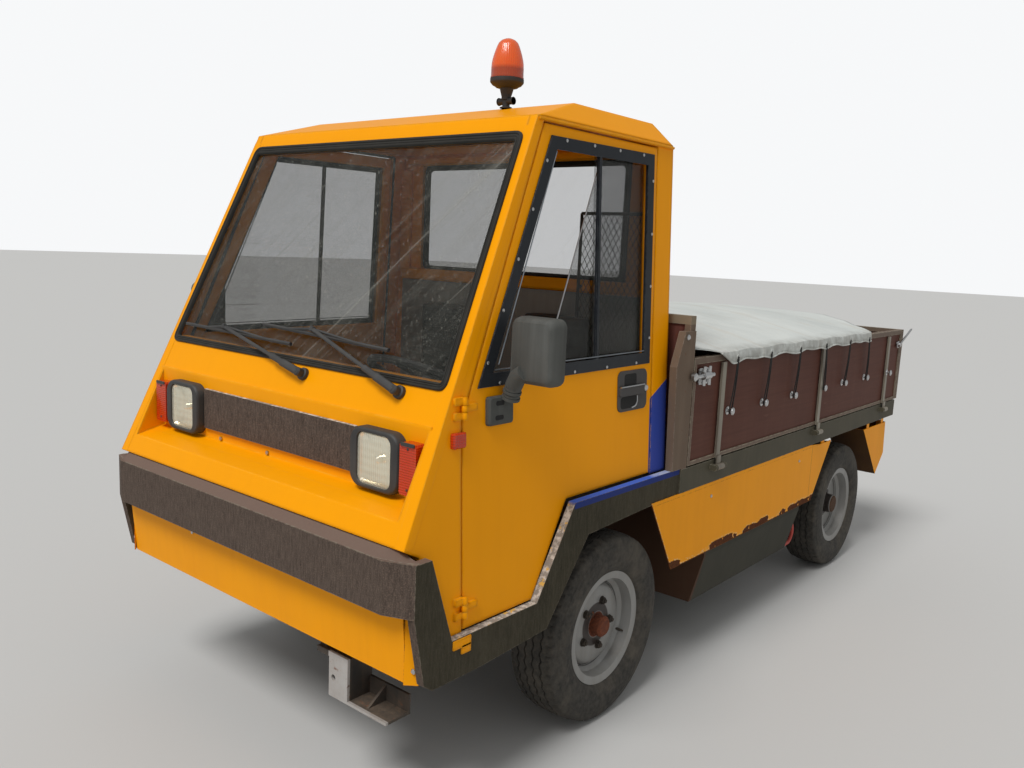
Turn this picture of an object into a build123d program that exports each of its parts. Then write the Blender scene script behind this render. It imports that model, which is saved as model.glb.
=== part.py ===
from build123d import *
import os
from math import cos, hypot, radians, sin

# An electric platform truck: a tall cab with flat sloping front, a steel platform with
# dropsides, and a battery box between the axles. Millimetres, +X to the truck's left,
# +Y to its tail, +Z up from the ground. Y is counted from the front axle while building,
# and ORIGIN_Y moves the finished truck so that the origin is the middle of its footprint.

# Small clearances
PANEL_GAP = 6.0
SEAT_GAP = 0.3
PIN_CLEAR = 0.06

# Main sizes that the others follow
WHEELBASE = 2175.0
CAB_HALF_W = 733.0
BED_OVER = 30.0
BED_HALF_W = CAB_HALF_W + BED_OVER
BED_FRONT_Y = 362.0
BED_REAR_Y = WHEELBASE + 675.0
RAIL_X = 300.0

# Wheels and axles
TYRE_R = 325.0
TYRE_W = 185.0
TYRE_SHOULDER_W = 158.0
TYRE_CROWN_W = 104.0
TYRE_WIDEST_R = 262.0
BEAD_R = 178.0
FLANGE_R = 196.0
RIM_W = 150.0
RIM_T = 8.0
WHEEL_X = CAB_HALF_W - 92.0
DISC_X = 12.0
HUB_R = 36.0
HUB_OUT = 62.0
DRIVE_HUB_R = 62.0
STUD_CIRCLE_R = 62.0
NUT_R = 11.0
DISC_R = 152.0
DRUM_R = 126.0
DRUM_W = 66.0
SPINDLE_R = 20.0
KINGPIN_X = WHEEL_X - 131.0
KINGPIN_R = 12.0
KING_BOSS_R = 24.0
KING_BOSS_H = 70.0
LUG_T = 20.0
STEER_ARM_Y = 132.0
STEER_ARM_T = 14.0
STEER_ARM_W = 28.0
TIE_ROD_R = 12.0
BALL_R = 17.0
TIE_PIN_R = 7.0
BEAM_H = 52.0
BEAM_W = 62.0
AXLE_TUBE_R = 42.0
DIFF_R = 112.0
DIFF_W = 150.0
MOTOR_R = 118.0
MOTOR_L = 330.0
SPRING_X = RAIL_X
SPRING_W = 44.0
SPRING_LEAVES = 4
LEAF_T = 7.0
FRONT_SPRING_HALF = 440.0
REAR_SPRING_HALF = 430.0
SPRING_EYE_R = 15.0
SPRING_RISE = 26.0
EYE_DROP = 5.0
SPRING_SEAT_L = 88.0
SPRING_SEAT_W = 80.0
HANGER_T = 8.0
BACK_PLATE_X = KINGPIN_X + 52.0
BACK_PLATE_T = 5.0

# Chassis rails, channels open to the middle, stepped up behind the cab
RAIL_W = 60.0
RAIL_WALL = 8.0
RAIL_H = 112.0
RAIL_LOW_Z = 420.0
RAIL_HIGH_Z = 620.0
RAIL_FRONT_Y = -880.0
RAIL_REAR_Y = BED_REAR_Y - 50.0
STEP_Y = BED_FRONT_Y + 38.0
STEP_RUN = 140.0
RAIL_NOSE_UP = 38.0
RAIL_NOSE_L = 190.0
MEMBER_L = 60.0
# Cross members: y, height of the underside above the rail's low point there, their height
LOW_MEMBERS = ((-840.0, 50.0, 50.0), (-420.0, 20.0, 80.0), (360.0, 20.0, 80.0))
HIGH_MEMBERS = ((700.0, 20.0, 80.0), (WHEELBASE - 535.0, 20.0, 80.0), (WHEELBASE + 325.0, 20.0, 80.0),
                (RAIL_REAR_Y - 35.0, 20.0, 80.0))

# Towing bracket under the left rail's front end
TOW_X = RAIL_X + 55.0
TOW_W = 82.0
TOW_Y = -892.0
TOW_BACK_Y = -800.0
TOW_LOW_Z = 285.0
TOW_EYE_X = TOW_X + 20.0
TOW_EYE_Z = TOW_LOW_Z + 60.0
TOW_EYE_R = 9.0
TRAY_END_X = 600.0
CHEEK_X = 500.0

# Cab: a flat front leaning back, sides leaning in, a hipped roof
SIDE_LEAN = 0.05
LEAN_FROM_Z = 600.0
WALL = 30.0
NOSE_Y = -957.0
NOSE_Z = 827.0
FRONT_SLOPE = 0.461
EAVE_Z = 1958.0
CAB_REAR_Y = 315.0
CROWN_Z = 2029.0
CROWN_HALF_W = CAB_HALF_W - 124.0
CROWN_FRONT_Y = -196.0
CROWN_REAR_Y = 260.0
FLOOR_Z = 556.0
FLOOR_T = 24.0
SEAT_DECK_Z = 829.0
ARCH_FOOT_Y = -448.0
ARCH_TOP_Y = -279.0
APRON_BACK_Y = -905.0
SIDE_FOOT_Y = -888.0
SIDE_FOOT_Z = 668.0

# Windscreen and rear window, measured on their panels
SCREEN_LOW_Z = 1215.0
SCREEN_HIGH_Z = 1897.0
SCREEN_LOW_HALF = CAB_HALF_W - 55.0
SCREEN_HIGH_HALF = CAB_HALF_W - 90.0
SEAL_W = 26.0
SEAL_PROUD = 7.0
GLASS_T = 6.0
REAR_GLASS_HALF = 525.0
REAR_GLASS_LOW_Z = 1477.0
REAR_GLASS_HIGH_Z = 1918.0

# Lamp recess across the nose
RECESS_TOP_Z = 1110.0
RECESS_FOOT_Z = 886.0
RECESS_HALF_W = CAB_HALF_W - 68.0
RECESS_SHELF_Z = 912.0
RECESS_WALL = 10.0
LAMP_X = CAB_HALF_W - 244.0
LAMP_Z = 1003.0
LAMP_W = 137.0
LAMP_H = 147.0
BEZEL_W = 200.0
BEZEL_H = 172.0
BEZEL_OUT = 36.0
LAMP_PANEL_HALF = LAMP_X - 127.0
LAMP_PANEL_LOW_Z = 945.0
LAMP_PANEL_HIGH_Z = 1078.0
LAMP_PANEL_T = 12.0
INDICATOR_W = 62.0
INDICATOR_H = 140.0

# Door, outlined on the cab side
DOOR_FRONT_Y = -744.0
DOOR_REAR_Y = 208.0
DOOR_KNEE_Z = 1131.0
DOOR_TOP_Z = 1940.0
DOOR_TOP_FRONT_Y = -405.0
DOOR_T = 28.0
HINGE_OUT = 9.5
HINGE_R = 9.0
HINGE_PIN_R = 4.0
HINGE_H = 60.0
LEAF_L = 52.0
HINGE_Z = (625.0, 1167.0)
WINDOW_FRAME_W = 38.0
WINDOW_FRAME_PROUD = 5.0
WINDOW = ((-688.0, 1213.0), (187.0, 1220.0), (187.0, 1916.0), (-376.0, 1910.0))
MULLION_Y = -128.0
MULLION_W = 24.0
HANDLE = ((-6.0, 1068.0), (174.0, 1068.0), (174.0, 1205.0), (-6.0, 1205.0))
HANDLE_PROUD = 4.0
MIRROR_Y = -600.0
MIRROR_X = CAB_HALF_W + 71.0
MIRROR_Z = 1315.0
MIRROR_W = 150.0
MIRROR_H = 190.0
MIRROR_T = 62.0
MIRROR_ARM_R = 11.0
MIRROR_BASE_Y = -662.0
MIRROR_BASE_Z = 1160.0
MIRROR_BASE_W = 64.0
MIRROR_BASE_H = 76.0
MIRROR_BASE_T = 34.0

# Dark bumper and side bands
BAND_X = CAB_HALF_W + 25.0
BAND_T = 26.0
BUMPER_Y = -986.0
BUMPER_LOW_Z = 656.0
BUMPER_HIGH_Z = 800.0
BUMPER_FLAT_HALF = BAND_X - 86.0
BUMPER_END_Y = -950.0
BUMPER_T = 52.0

# Yellow skirts
APRON_TOP_Z = 700.0
APRON_LOW_Z = 456.0
APRON_FOLD_X = BUMPER_FLAT_HALF + 30.0
APRON_Y = -938.0
APRON_RAKE = 0.08
SHEET_T = 4.0
SKIRT_X = BED_HALF_W
SKIRT_TOP_Z = 724.0
SKIRT_LOW_Z = 456.0
SKIRT = ((178.0, SKIRT_TOP_Z), (342.0, SKIRT_LOW_Z), (WHEELBASE - 500.0, SKIRT_LOW_Z),
         (WHEELBASE - 301.0, SKIRT_TOP_Z))
VALANCE_TOP_Z = 711.0
VALANCE = ((WHEELBASE + 184.0, VALANCE_TOP_Z), (WHEELBASE + 457.0, 424.0), (WHEELBASE + 567.0, 530.0),
           (WHEELBASE + 549.0, VALANCE_TOP_Z))
VALANCE_IN = SKIRT_X - 203.0
VALANCE_CHAMFER = 70.0
SKIRT_TAB_W = 40.0
SKIRT_TAB_H = 30.0
SKIRT_TAB_Y = (BED_FRONT_Y + 60.0, 750.0, 1250.0, WHEELBASE - 400.0)
VALANCE_TAB_Y = (WHEELBASE + 260.0, WHEELBASE + 500.0)

# Battery box
BATTERY_FRONT_Y = 623.0
BATTERY_REAR_Y = WHEELBASE - 610.0
BATTERY_LOW_Z = 230.0
BATTERY_SIDE_Z = 430.0
BATTERY_HIGH_Z = RAIL_HIGH_Z
BATTERY_X = BED_HALF_W - 11.0
BATTERY_FOOT_X = BATTERY_X - 52.0

# Platform
BED_RAIL_W = 30.0
BED_RAIL_LOW_Z = 737.0
DECK_Z = 826.0
DECK_T = 24.0
BEARER_W = 50.0
BEARER_COUNT = 6
BOARD_T = 18.0
GATE_T = 28.0
GATE_TOP_Z = 1229.0
GATE_GAP = 6.0
GATE_RIM_LOW = 15.0
GATE_RIM_END = 18.0
GATE_RIM_TOP = 24.0
STRAP_W = 30.0
STRAP_T = 8.0
STRAP_TOP_Z = 1201.0
STRAP_Y = (BED_FRONT_Y + 270.0, WHEELBASE - 525.0, BED_REAR_Y - 230.0)
TAIL_STRAP_OUT = BED_HALF_W - 243.0
TAIL_STRAP_X = (-TAIL_STRAP_OUT, 0.0, TAIL_STRAP_OUT)
GATE_PIN_OUT = 17.0
GATE_PIN_Z = 798.0
GATE_PIN_R = 6.0
GATE_BARREL_R = 12.0
GATE_BARREL_L = 50.0
LUG_W = 18.0
HEADBOARD_Y = BED_FRONT_Y + 7.0
HEADBOARD_T = 30.0
HEADBOARD_Z = 1380.0
HEAD_RIM_H = 30.0
HEAD_RIM_OVER = 6.0
POST_W = 28.0
POST_FOOT_Y = BED_FRONT_Y - 64.0
POST_WAIST_Y = BED_FRONT_Y - 84.0
POST_WAIST_Z = 1205.0
POST_HEAD_Y = BED_FRONT_Y - 37.0
POST_TOP_Z = 1327.0
TARP_T = 5.0
TARP_EDGE_Z = GATE_TOP_Z + 9.0
TARP_CROWN = 95.0
TARP_HALF_W = BED_HALF_W + 15.0
TARP_CUT_X = 350.0
TARP_CUT_Y = BED_REAR_Y - 600.0

# Cab furniture
SEAT_X = CAB_HALF_W - 388.0
SEAT_W = 500.0
SEAT_D = 440.0
SEAT_T = 110.0
BACK_T = 85.0
BACK_H = 520.0
WHEEL_RING_R = 195.0
WHEEL_RING_T = 13.0
WHEEL_HUB_R = 34.0
WHEEL_HUB_H = 34.0
DASH_TOP_Z = 1176.0
DASH_LOW_Z = 1015.0
COLUMN_X = SEAT_X - 5.0
COLUMN_RAKE = 26.0
WHEEL_CENTRE = (COLUMN_X, -500.0, 1165.0)

# Dashboard, its outline in the cab as heights and depths, and the column's bracket
DASH_BROW_Y = -625.0
DASH_BROW_Z = DASH_TOP_Z - 28.0
DASH_CHIN_Y = -605.0
DASH_CHIN_Z = 1070.0
DASH_FOOT_Y = -750.0
BRACKET_Y = (-640.0, -556.0)
BRACKET_Z = (1035.0, 1062.0)
BRACKET_HALF = 18.0
COLUMN_R = 26.0
SPOKE_W = 26.0

# Wipers on the windscreen: pivot x and z, arm end x and z, blade ends x and z
WIPERS = ((96.0, 1183.0, -372.0, 1276.0, -609.0, 1268.0, -2.0, 1258.0),
          (517.0, 1186.0, 82.0, 1309.0, -176.0, 1304.0, 430.0, 1285.0))
PIVOT_R = 13.0
ARM_R = 6.0
BLADE_R = 7.0

# Beacon: radius and height above the roof's crown, for its base and its dome
BEACON_X = 342.0
BEACON_Y = -200.0
BEACON_FOOT_R = 12.0
BEACON_CLAMP_HALF = 31.0
BEACON_CLAMP_R = 11.0
BEACON_CLAMP_H = 22.0
BEACON_BASE = ((0.0, 26.0), (15.5, 26.0), (15.5, 36.0), (22.5, 62.0), (37.0, 64.0), (48.0, 71.0),
               (54.0, 79.0), (54.0, 91.0), (0.0, 91.0))
BEACON_DOME = ((0.0, 91.3), (54.0, 91.3), (54.0, 95.0), (52.0, 124.0), (49.0, 149.0), (40.0, 179.0),
               (31.0, 200.0), (22.0, 208.0), (0.0, 214.0))

# Tail lamps
TAIL_LAMP_IN = 20.0
TAIL_LAMP_W = 100.0
TAIL_LAMP_T = 32.0
TAIL_LAMP_Z = 650.0

# The middle of the footprint, from the bumper to the tailgate's hinge barrels
ORIGIN_Y = -(BUMPER_Y + BED_REAR_Y + GATE_T + GATE_PIN_OUT + GATE_BARREL_R) / 2


def extrude_x(points, x0, x1):
    """A prism along X of an outline given as (y, z) points."""
    return extrude(Plane.YZ.offset(x0) * make_face(Polyline(*points, close=True)), x1 - x0)


def extrude_y(points, y0, y1):
    """A prism along Y of an outline given as (x, z) points."""
    plane = Plane(origin=(0, y1, 0), x_dir=(1, 0, 0), z_dir=(0, -1, 0))
    return extrude(plane * make_face(Polyline(*points, close=True)), y1 - y0)


def extrude_z(points, z0, z1):
    """A prism along Z of an outline given as (x, y) points."""
    return extrude(Plane.XY.offset(z0) * make_face(Polyline(*points, close=True)), z1 - z0)


def block(x0, x1, y0, y1, z0, z1):
    return Pos((x0 + x1) / 2, (y0 + y1) / 2, (z0 + z1) / 2) * Box(x1 - x0, y1 - y0, z1 - z0)


def rod_x(radius, x0, x1, y, z):
    return Pos((x0 + x1) / 2, y, z) * Rot(0, 90, 0) * Cylinder(radius, x1 - x0)


def rod_y(radius, x, y0, y1, z):
    return Pos(x, (y0 + y1) / 2, z) * Rot(90, 0, 0) * Cylinder(radius, y1 - y0)


def rod_z(radius, x, y, z0, z1):
    return Pos(x, y, (z0 + z1) / 2) * Cylinder(radius, z1 - z0)


def rod_between(radius, start, end):
    """A round bar from one point to another."""
    line = Line(start, end)
    return extrude(Plane(origin=start, z_dir=line % 0) * Circle(radius), line.length)


def mirrored(shape):
    return mirror(shape, Plane.YZ)


def both(shape):
    return [shape, mirrored(shape)]


def export(node, *shapes):
    """Write one node: every solid of the shapes, moved to the truck's origin."""
    solids = []
    for shape in shapes:
        solids += shape.solids()
    whole = Compound(children=[solid.moved(Location((0, ORIGIN_Y, 0))) for solid in solids])
    export_step(whole, f"parts/{node}.step")


def side_x(z):
    """Half the cab's width at a height."""
    return CAB_HALF_W - SIDE_LEAN * (z - LEAN_FROM_Z)


def front_y(z):
    """The cab's front plane at a height."""
    return NOSE_Y + FRONT_SLOPE * (z - NOSE_Z)


def lean_slab(outline, outer, inner):
    """A left-side panel of a (y, z) outline, leaning with the cab side.

    outer and inner are measured inward from the cab's side surface."""
    return lean_slab_of(make_face(Polyline(*outline, close=True)), outer, inner)


def grown(points, by):
    """An outline grown outward by a distance, or shrunk where by is negative."""
    return offset(make_face(Polyline(*points, close=True)), amount=by, kind=Kind.INTERSECTION)


def lean_slab_of(sketch, outer, inner):
    """The same for an outline given as a face in the YZ plane."""
    slab = extrude(Plane.YZ * sketch, 900.0)
    z0, z1 = 300.0, 2200.0
    keep = extrude_y(
        [(side_x(z0) - inner, z0), (side_x(z0) - outer, z0),
         (side_x(z1) - outer, z1), (side_x(z1) - inner, z1)], -1200.0, 3200.0)
    return slab & keep


# Outlines on the cab side, as (y, z)
ARCH_RUN = ARCH_TOP_Y - ARCH_FOOT_Y
DOOR = ((DOOR_FRONT_Y, FLOOR_Z + PANEL_GAP), (DOOR_FRONT_Y, DOOR_KNEE_Z),
        (DOOR_TOP_FRONT_Y, DOOR_TOP_Z), (DOOR_REAR_Y, DOOR_TOP_Z),
        (DOOR_REAR_Y, SEAT_DECK_Z + PANEL_GAP), (ARCH_TOP_Y, SEAT_DECK_Z + PANEL_GAP),
        (ARCH_FOOT_Y, FLOOR_Z + PANEL_GAP))
BAND_FOOT_Y = -809.0
SIDE = ((NOSE_Y, NOSE_Z), (front_y(EAVE_Z), EAVE_Z), (CAB_REAR_Y, EAVE_Z),
        (CAB_REAR_Y, SEAT_DECK_Z), (ARCH_TOP_Y, SEAT_DECK_Z), (ARCH_FOOT_Y, FLOOR_Z),
        (SIDE_FOOT_Y, FLOOR_Z), (SIDE_FOOT_Y, SIDE_FOOT_Z), (APRON_BACK_Y, SIDE_FOOT_Z),
        (APRON_BACK_Y, BUMPER_HIGH_Z))
BAND = ((BUMPER_END_Y, BUMPER_HIGH_Z), (-893.0, BUMPER_HIGH_Z), (BAND_FOOT_Y, FLOOR_Z),
        (ARCH_FOOT_Y, FLOOR_Z), (ARCH_TOP_Y, SEAT_DECK_Z), (BED_FRONT_Y, SEAT_DECK_Z),
        (BED_FRONT_Y, BED_RAIL_LOW_Z), (-198.0, 711.0), (-394.0, 459.0), (-696.0, 443.0),
        (-879.0, 443.0), (-909.0, 464.0), (BUMPER_END_Y, BUMPER_LOW_Z))


def between_sides(clear):
    """The room between the two leaning cab sides, walls and a clearance left out."""
    z0, z1 = 400.0, EAVE_Z
    x0, x1 = side_x(z0) - WALL - clear, side_x(z1) - WALL - clear
    return extrude_y([(-x0, z0), (x0, z0), (x1, z1), (-x1, z1)], -1200.0, 600.0)


def roof():
    """The hipped roof: an eave band and four slopes up to a flat crown, hollow below."""
    def hip(inset, z_drop):
        eave = make_face(Polyline(
            (side_x(EAVE_Z) - inset, front_y(EAVE_Z) + inset),
            (side_x(EAVE_Z) - inset, CAB_REAR_Y - inset),
            (-side_x(EAVE_Z) + inset, CAB_REAR_Y - inset),
            (-side_x(EAVE_Z) + inset, front_y(EAVE_Z) + inset), close=True))
        crown = make_face(Polyline(
            (CROWN_HALF_W - inset * 0.6, CROWN_FRONT_Y + inset * 0.6),
            (CROWN_HALF_W - inset * 0.6, CROWN_REAR_Y - inset * 0.6),
            (-CROWN_HALF_W + inset * 0.6, CROWN_REAR_Y - inset * 0.6),
            (-CROWN_HALF_W + inset * 0.6, CROWN_FRONT_Y + inset * 0.6), close=True))
        return loft([Plane.XY.offset(EAVE_Z) * eave, Plane.XY.offset(CROWN_Z - z_drop) * crown])
    return hip(0.0, 0.0) - hip(WALL, WALL)


def screen_outline(grow):
    """The windscreen's outline on the front plane, as (x, z) points."""
    return [(-SCREEN_LOW_HALF - grow, SCREEN_LOW_Z - grow), (SCREEN_LOW_HALF + grow, SCREEN_LOW_Z - grow),
            (SCREEN_HIGH_HALF + grow, SCREEN_HIGH_Z + grow), (-SCREEN_HIGH_HALF - grow, SCREEN_HIGH_Z + grow)]


def front_slab(outer, inner):
    """A slab along the front plane between two depths measured inward from its surface."""
    scale = hypot(1.0, FRONT_SLOPE)
    z0, z1 = 700.0, 2000.0
    return extrude_x([(front_y(z0) + outer * scale, z0), (front_y(z0) + inner * scale, z0),
                      (front_y(z1) + inner * scale, z1), (front_y(z1) + outer * scale, z1)],
                     -900.0, 900.0)


def through_front(points):
    """A prism through the cab's front of an (x, z) outline."""
    return extrude_y(points, -1100.0, -200.0)


def front_panel():
    """The sloping front with its windscreen hole, the return behind the bumper and the lamp recess."""
    depth = WALL * hypot(1.0, FRONT_SLOPE)
    foot_in = APRON_BACK_Y + WALL
    knee_z = NOSE_Z + (foot_in - depth - NOSE_Y) / FRONT_SLOPE
    floor_low = FLOOR_Z - FLOOR_T
    panel = extrude_x([(front_y(EAVE_Z), EAVE_Z), (NOSE_Y, NOSE_Z), (APRON_BACK_Y, BUMPER_HIGH_Z),
                       (APRON_BACK_Y, floor_low), (foot_in, floor_low), (foot_in, knee_z),
                       (front_y(EAVE_Z) + depth, EAVE_Z)], -900.0, 900.0)
    back_y = front_y(RECESS_TOP_Z)
    foot_y = front_y(RECESS_FOOT_Z)
    room = extrude_x([(-1300.0, RECESS_FOOT_Z), (foot_y, RECESS_FOOT_Z), (back_y, RECESS_SHELF_Z),
                      (back_y, RECESS_TOP_Z), (-1300.0, RECESS_TOP_Z)], -RECESS_HALF_W, RECESS_HALF_W)
    t = RECESS_WALL
    pan = extrude_x([(foot_y + 6.0, RECESS_FOOT_Z), (back_y, RECESS_SHELF_Z), (back_y, RECESS_TOP_Z + t),
                     (back_y + t, RECESS_TOP_Z + t), (back_y + t, RECESS_SHELF_Z - t),
                     (foot_y + 20.0, RECESS_FOOT_Z - t)], -RECESS_HALF_W - t, RECESS_HALF_W + t)
    cheek = extrude_x([(foot_y + 6.0, RECESS_FOOT_Z - t), (back_y + t, RECESS_SHELF_Z - t),
                       (back_y + t, RECESS_TOP_Z + t), (back_y + 6.0, RECESS_TOP_Z + t)],
                      RECESS_HALF_W, RECESS_HALF_W + t)
    screen = through_front(screen_outline(-SEAL_W * 0.5))
    front = panel - screen - room
    return (front + pan + cheek + mirrored(cheek)) & between_sides(0.2)


def make_cab():
    export("cab_front", front_panel())

    # Side frames round the door opening
    door_hole = grown(DOOR, PANEL_GAP)
    side_face = make_face(Polyline(*SIDE, close=True))
    frame = lean_slab_of(side_face, 0.0, WALL) - lean_slab_of(door_hole, -5.0, WALL + 5.0)
    for z in HINGE_Z:
        knuckle = hinge_knuckle(z)
        frame = frame + knuckle
    export("cab_sides", *both(frame))

    # Rear wall between the sides
    rear = block(-900.0, 900.0, CAB_REAR_Y - WALL, CAB_REAR_Y, SEAT_DECK_Z, EAVE_Z)
    rear = rear & between_sides(0.2)
    rear = rear - block(-REAR_GLASS_HALF, REAR_GLASS_HALF, 0.0, 600.0, REAR_GLASS_LOW_Z, REAR_GLASS_HIGH_Z)
    export("cab_rear_wall", rear)

    export("cab_roof", roof())

    # Stepped floor: foot well, wheel arch front and seat deck
    t = FLOOR_T
    foot_front = APRON_BACK_Y + WALL + 0.2
    tray = extrude_x([(foot_front, FLOOR_Z), (foot_front, FLOOR_Z - t), (ARCH_FOOT_Y + 8.0, FLOOR_Z - t),
                      (ARCH_TOP_Y + 8.0, SEAT_DECK_Z - t), (CAB_REAR_Y, SEAT_DECK_Z - t),
                      (CAB_REAR_Y, SEAT_DECK_Z), (ARCH_TOP_Y - 6.0, SEAT_DECK_Z),
                      (ARCH_FOOT_Y - 6.0, FLOOR_Z)], -900.0, 900.0)
    tray = tray & between_sides(0.2)
    export("cab_floor", tray)


def hinge_axis_x(z):
    return side_x(z) + HINGE_OUT


def hinge_bar(radius, z0, z1):
    """A bar along the door's hinge line between two heights."""
    return rod_between(radius, (hinge_axis_x(z0), DOOR_FRONT_Y - PANEL_GAP / 2, z0),
                       (hinge_axis_x(z1), DOOR_FRONT_Y - PANEL_GAP / 2, z1))


def hinge_knuckle(z):
    """The cab's half of a door hinge: leaf, two barrels and the pin."""
    y = DOOR_FRONT_Y - PANEL_GAP / 2
    third = HINGE_H / 3
    half = HINGE_H / 2
    parts = hinge_bar(HINGE_PIN_R, z - half, z + half)
    for z0 in (z - half, z + half - third):
        parts = parts + hinge_bar(HINGE_R, z0, z0 + third)
        leaf = block(side_x(z) - 8.0, hinge_axis_x(z), y - 34.0, y, z0, z0 + third)
        parts = parts + leaf
    return parts


def door_knuckle(z):
    """The door's half of a hinge: one barrel and its leaf."""
    y = DOOR_FRONT_Y - PANEL_GAP / 2
    sixth = HINGE_H / 6 - 1.0
    barrel = hinge_bar(HINGE_R, z - sixth, z + sixth)
    leaf = ((y, z - sixth), (y + LEAF_L, z - sixth), (y + LEAF_L, z + sixth), (y, z + sixth))
    foot = ((y + LEAF_L / 2, z - sixth), (y + LEAF_L, z - sixth), (y + LEAF_L, z + sixth),
            (y + LEAF_L / 2, z + sixth))
    proud = lean_slab(leaf, -HINGE_OUT, -1.0) + lean_slab(foot, -HINGE_OUT, 2.0)
    return barrel + proud - hinge_bar(HINGE_PIN_R + PIN_CLEAR, z - 40.0, z + 40.0)


def make_door(side, turn):
    panel = lean_slab_of(make_face(Polyline(*DOOR, close=True)), 0.0, DOOR_T)
    panel = panel - lean_slab_of(grown(WINDOW, -WINDOW_FRAME_W * 0.45), -5.0, DOOR_T + 5.0)
    for z in HINGE_Z:
        panel = panel + door_knuckle(z)
    export(f"door_{side}_panel", turn(panel))

    outer = make_face(Polyline(*WINDOW, close=True))
    inner = grown(WINDOW, -WINDOW_FRAME_W)
    frame = lean_slab_of(outer, -WINDOW_FRAME_PROUD, -SEAT_GAP) - lean_slab_of(inner, -20.0, 20.0)
    y0, y1 = MULLION_Y - MULLION_W / 2, MULLION_Y + MULLION_W / 2
    z0, z1 = WINDOW[0][1] - 10.0, WINDOW[2][1] + 10.0
    post = ((y0, z0), (y1, z0), (y1, z1), (y0, z1))
    post_slab = lean_slab(post, -WINDOW_FRAME_PROUD, -SEAT_GAP) & lean_slab_of(outer, -40.0, 0.0)
    frame = frame + post_slab

    # Mirror: a base on the door, a bent arm and a rounded head
    base_x = side_x(MIRROR_BASE_Z)
    y0, y1 = MIRROR_BASE_Y - MIRROR_BASE_W / 2, MIRROR_BASE_Y + MIRROR_BASE_W / 2
    z0, z1 = MIRROR_BASE_Z - MIRROR_BASE_H / 2, MIRROR_BASE_Z + MIRROR_BASE_H / 2
    base = lean_slab(((y0, z0), (y1, z0), (y1, z1), (y0, z1)), -MIRROR_BASE_T, -SEAT_GAP)
    arm = rod_between(MIRROR_ARM_R, (base_x + 20.0, MIRROR_BASE_Y, MIRROR_BASE_Z),
                      (MIRROR_X - 55.0, MIRROR_Y + MIRROR_T / 2, MIRROR_Z - MIRROR_H / 2 + 15.0))
    head = Pos(MIRROR_X, MIRROR_Y + MIRROR_T / 2, MIRROR_Z) * Box(MIRROR_W, MIRROR_T, MIRROR_H)
    head = fillet(head.edges().filter_by(Axis.Y), 28.0)
    head = fillet(head.faces().sort_by(Axis.Y)[0].edges(), 20.0)
    handle = lean_slab(HANDLE, -HANDLE_PROUD, -SEAT_GAP)
    export(f"door_{side}_trim", turn(frame), turn(base + arm + head), turn(handle))

    glass = lean_slab_of(grown(WINDOW, -WINDOW_FRAME_W * 0.45 - SEAT_GAP), 10.0, 10.0 + GLASS_T)
    export(f"door_{side}_glass", turn(glass))


def make_windows():
    proud = front_slab(-SEAL_PROUD, -SEAT_GAP)
    ring = through_front(screen_outline(0.0)) - through_front(screen_outline(-SEAL_W))
    in_hole = through_front(screen_outline(-SEAL_W * 0.5 - SEAT_GAP)) - through_front(screen_outline(-SEAL_W))
    seal = (ring & proud) + (in_hole & front_slab(-SEAL_PROUD, WALL * 0.6))
    y = CAB_REAR_Y
    rear_out = block(-REAR_GLASS_HALF - 14.0, REAR_GLASS_HALF + 14.0, y + SEAT_GAP, y + 6.0,
                     REAR_GLASS_LOW_Z - 14.0, REAR_GLASS_HIGH_Z + 14.0)
    rear_in = block(-REAR_GLASS_HALF + SEAT_GAP, REAR_GLASS_HALF - SEAT_GAP, y - 20.0, y + 6.0,
                    REAR_GLASS_LOW_Z + SEAT_GAP, REAR_GLASS_HIGH_Z - SEAT_GAP)
    rear_hole = block(-REAR_GLASS_HALF + 14.0, REAR_GLASS_HALF - 14.0, y - 40.0, y + 40.0,
                      REAR_GLASS_LOW_Z + 14.0, REAR_GLASS_HIGH_Z - 14.0)
    export("window_seals", seal, rear_out + rear_in - rear_hole)
    pane = through_front(screen_outline(-SEAL_W - SEAT_GAP)) & front_slab(4.0, 4.0 + GLASS_T)
    rear_pane = block(-REAR_GLASS_HALF + 14.0 + SEAT_GAP, REAR_GLASS_HALF - 14.0 - SEAT_GAP, y - 10.0,
                      y - 10.0 + GLASS_T, REAR_GLASS_LOW_Z + 14.0 + SEAT_GAP,
                      REAR_GLASS_HIGH_Z - 14.0 - SEAT_GAP)
    export("cab_glass", pane, rear_pane)


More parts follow.
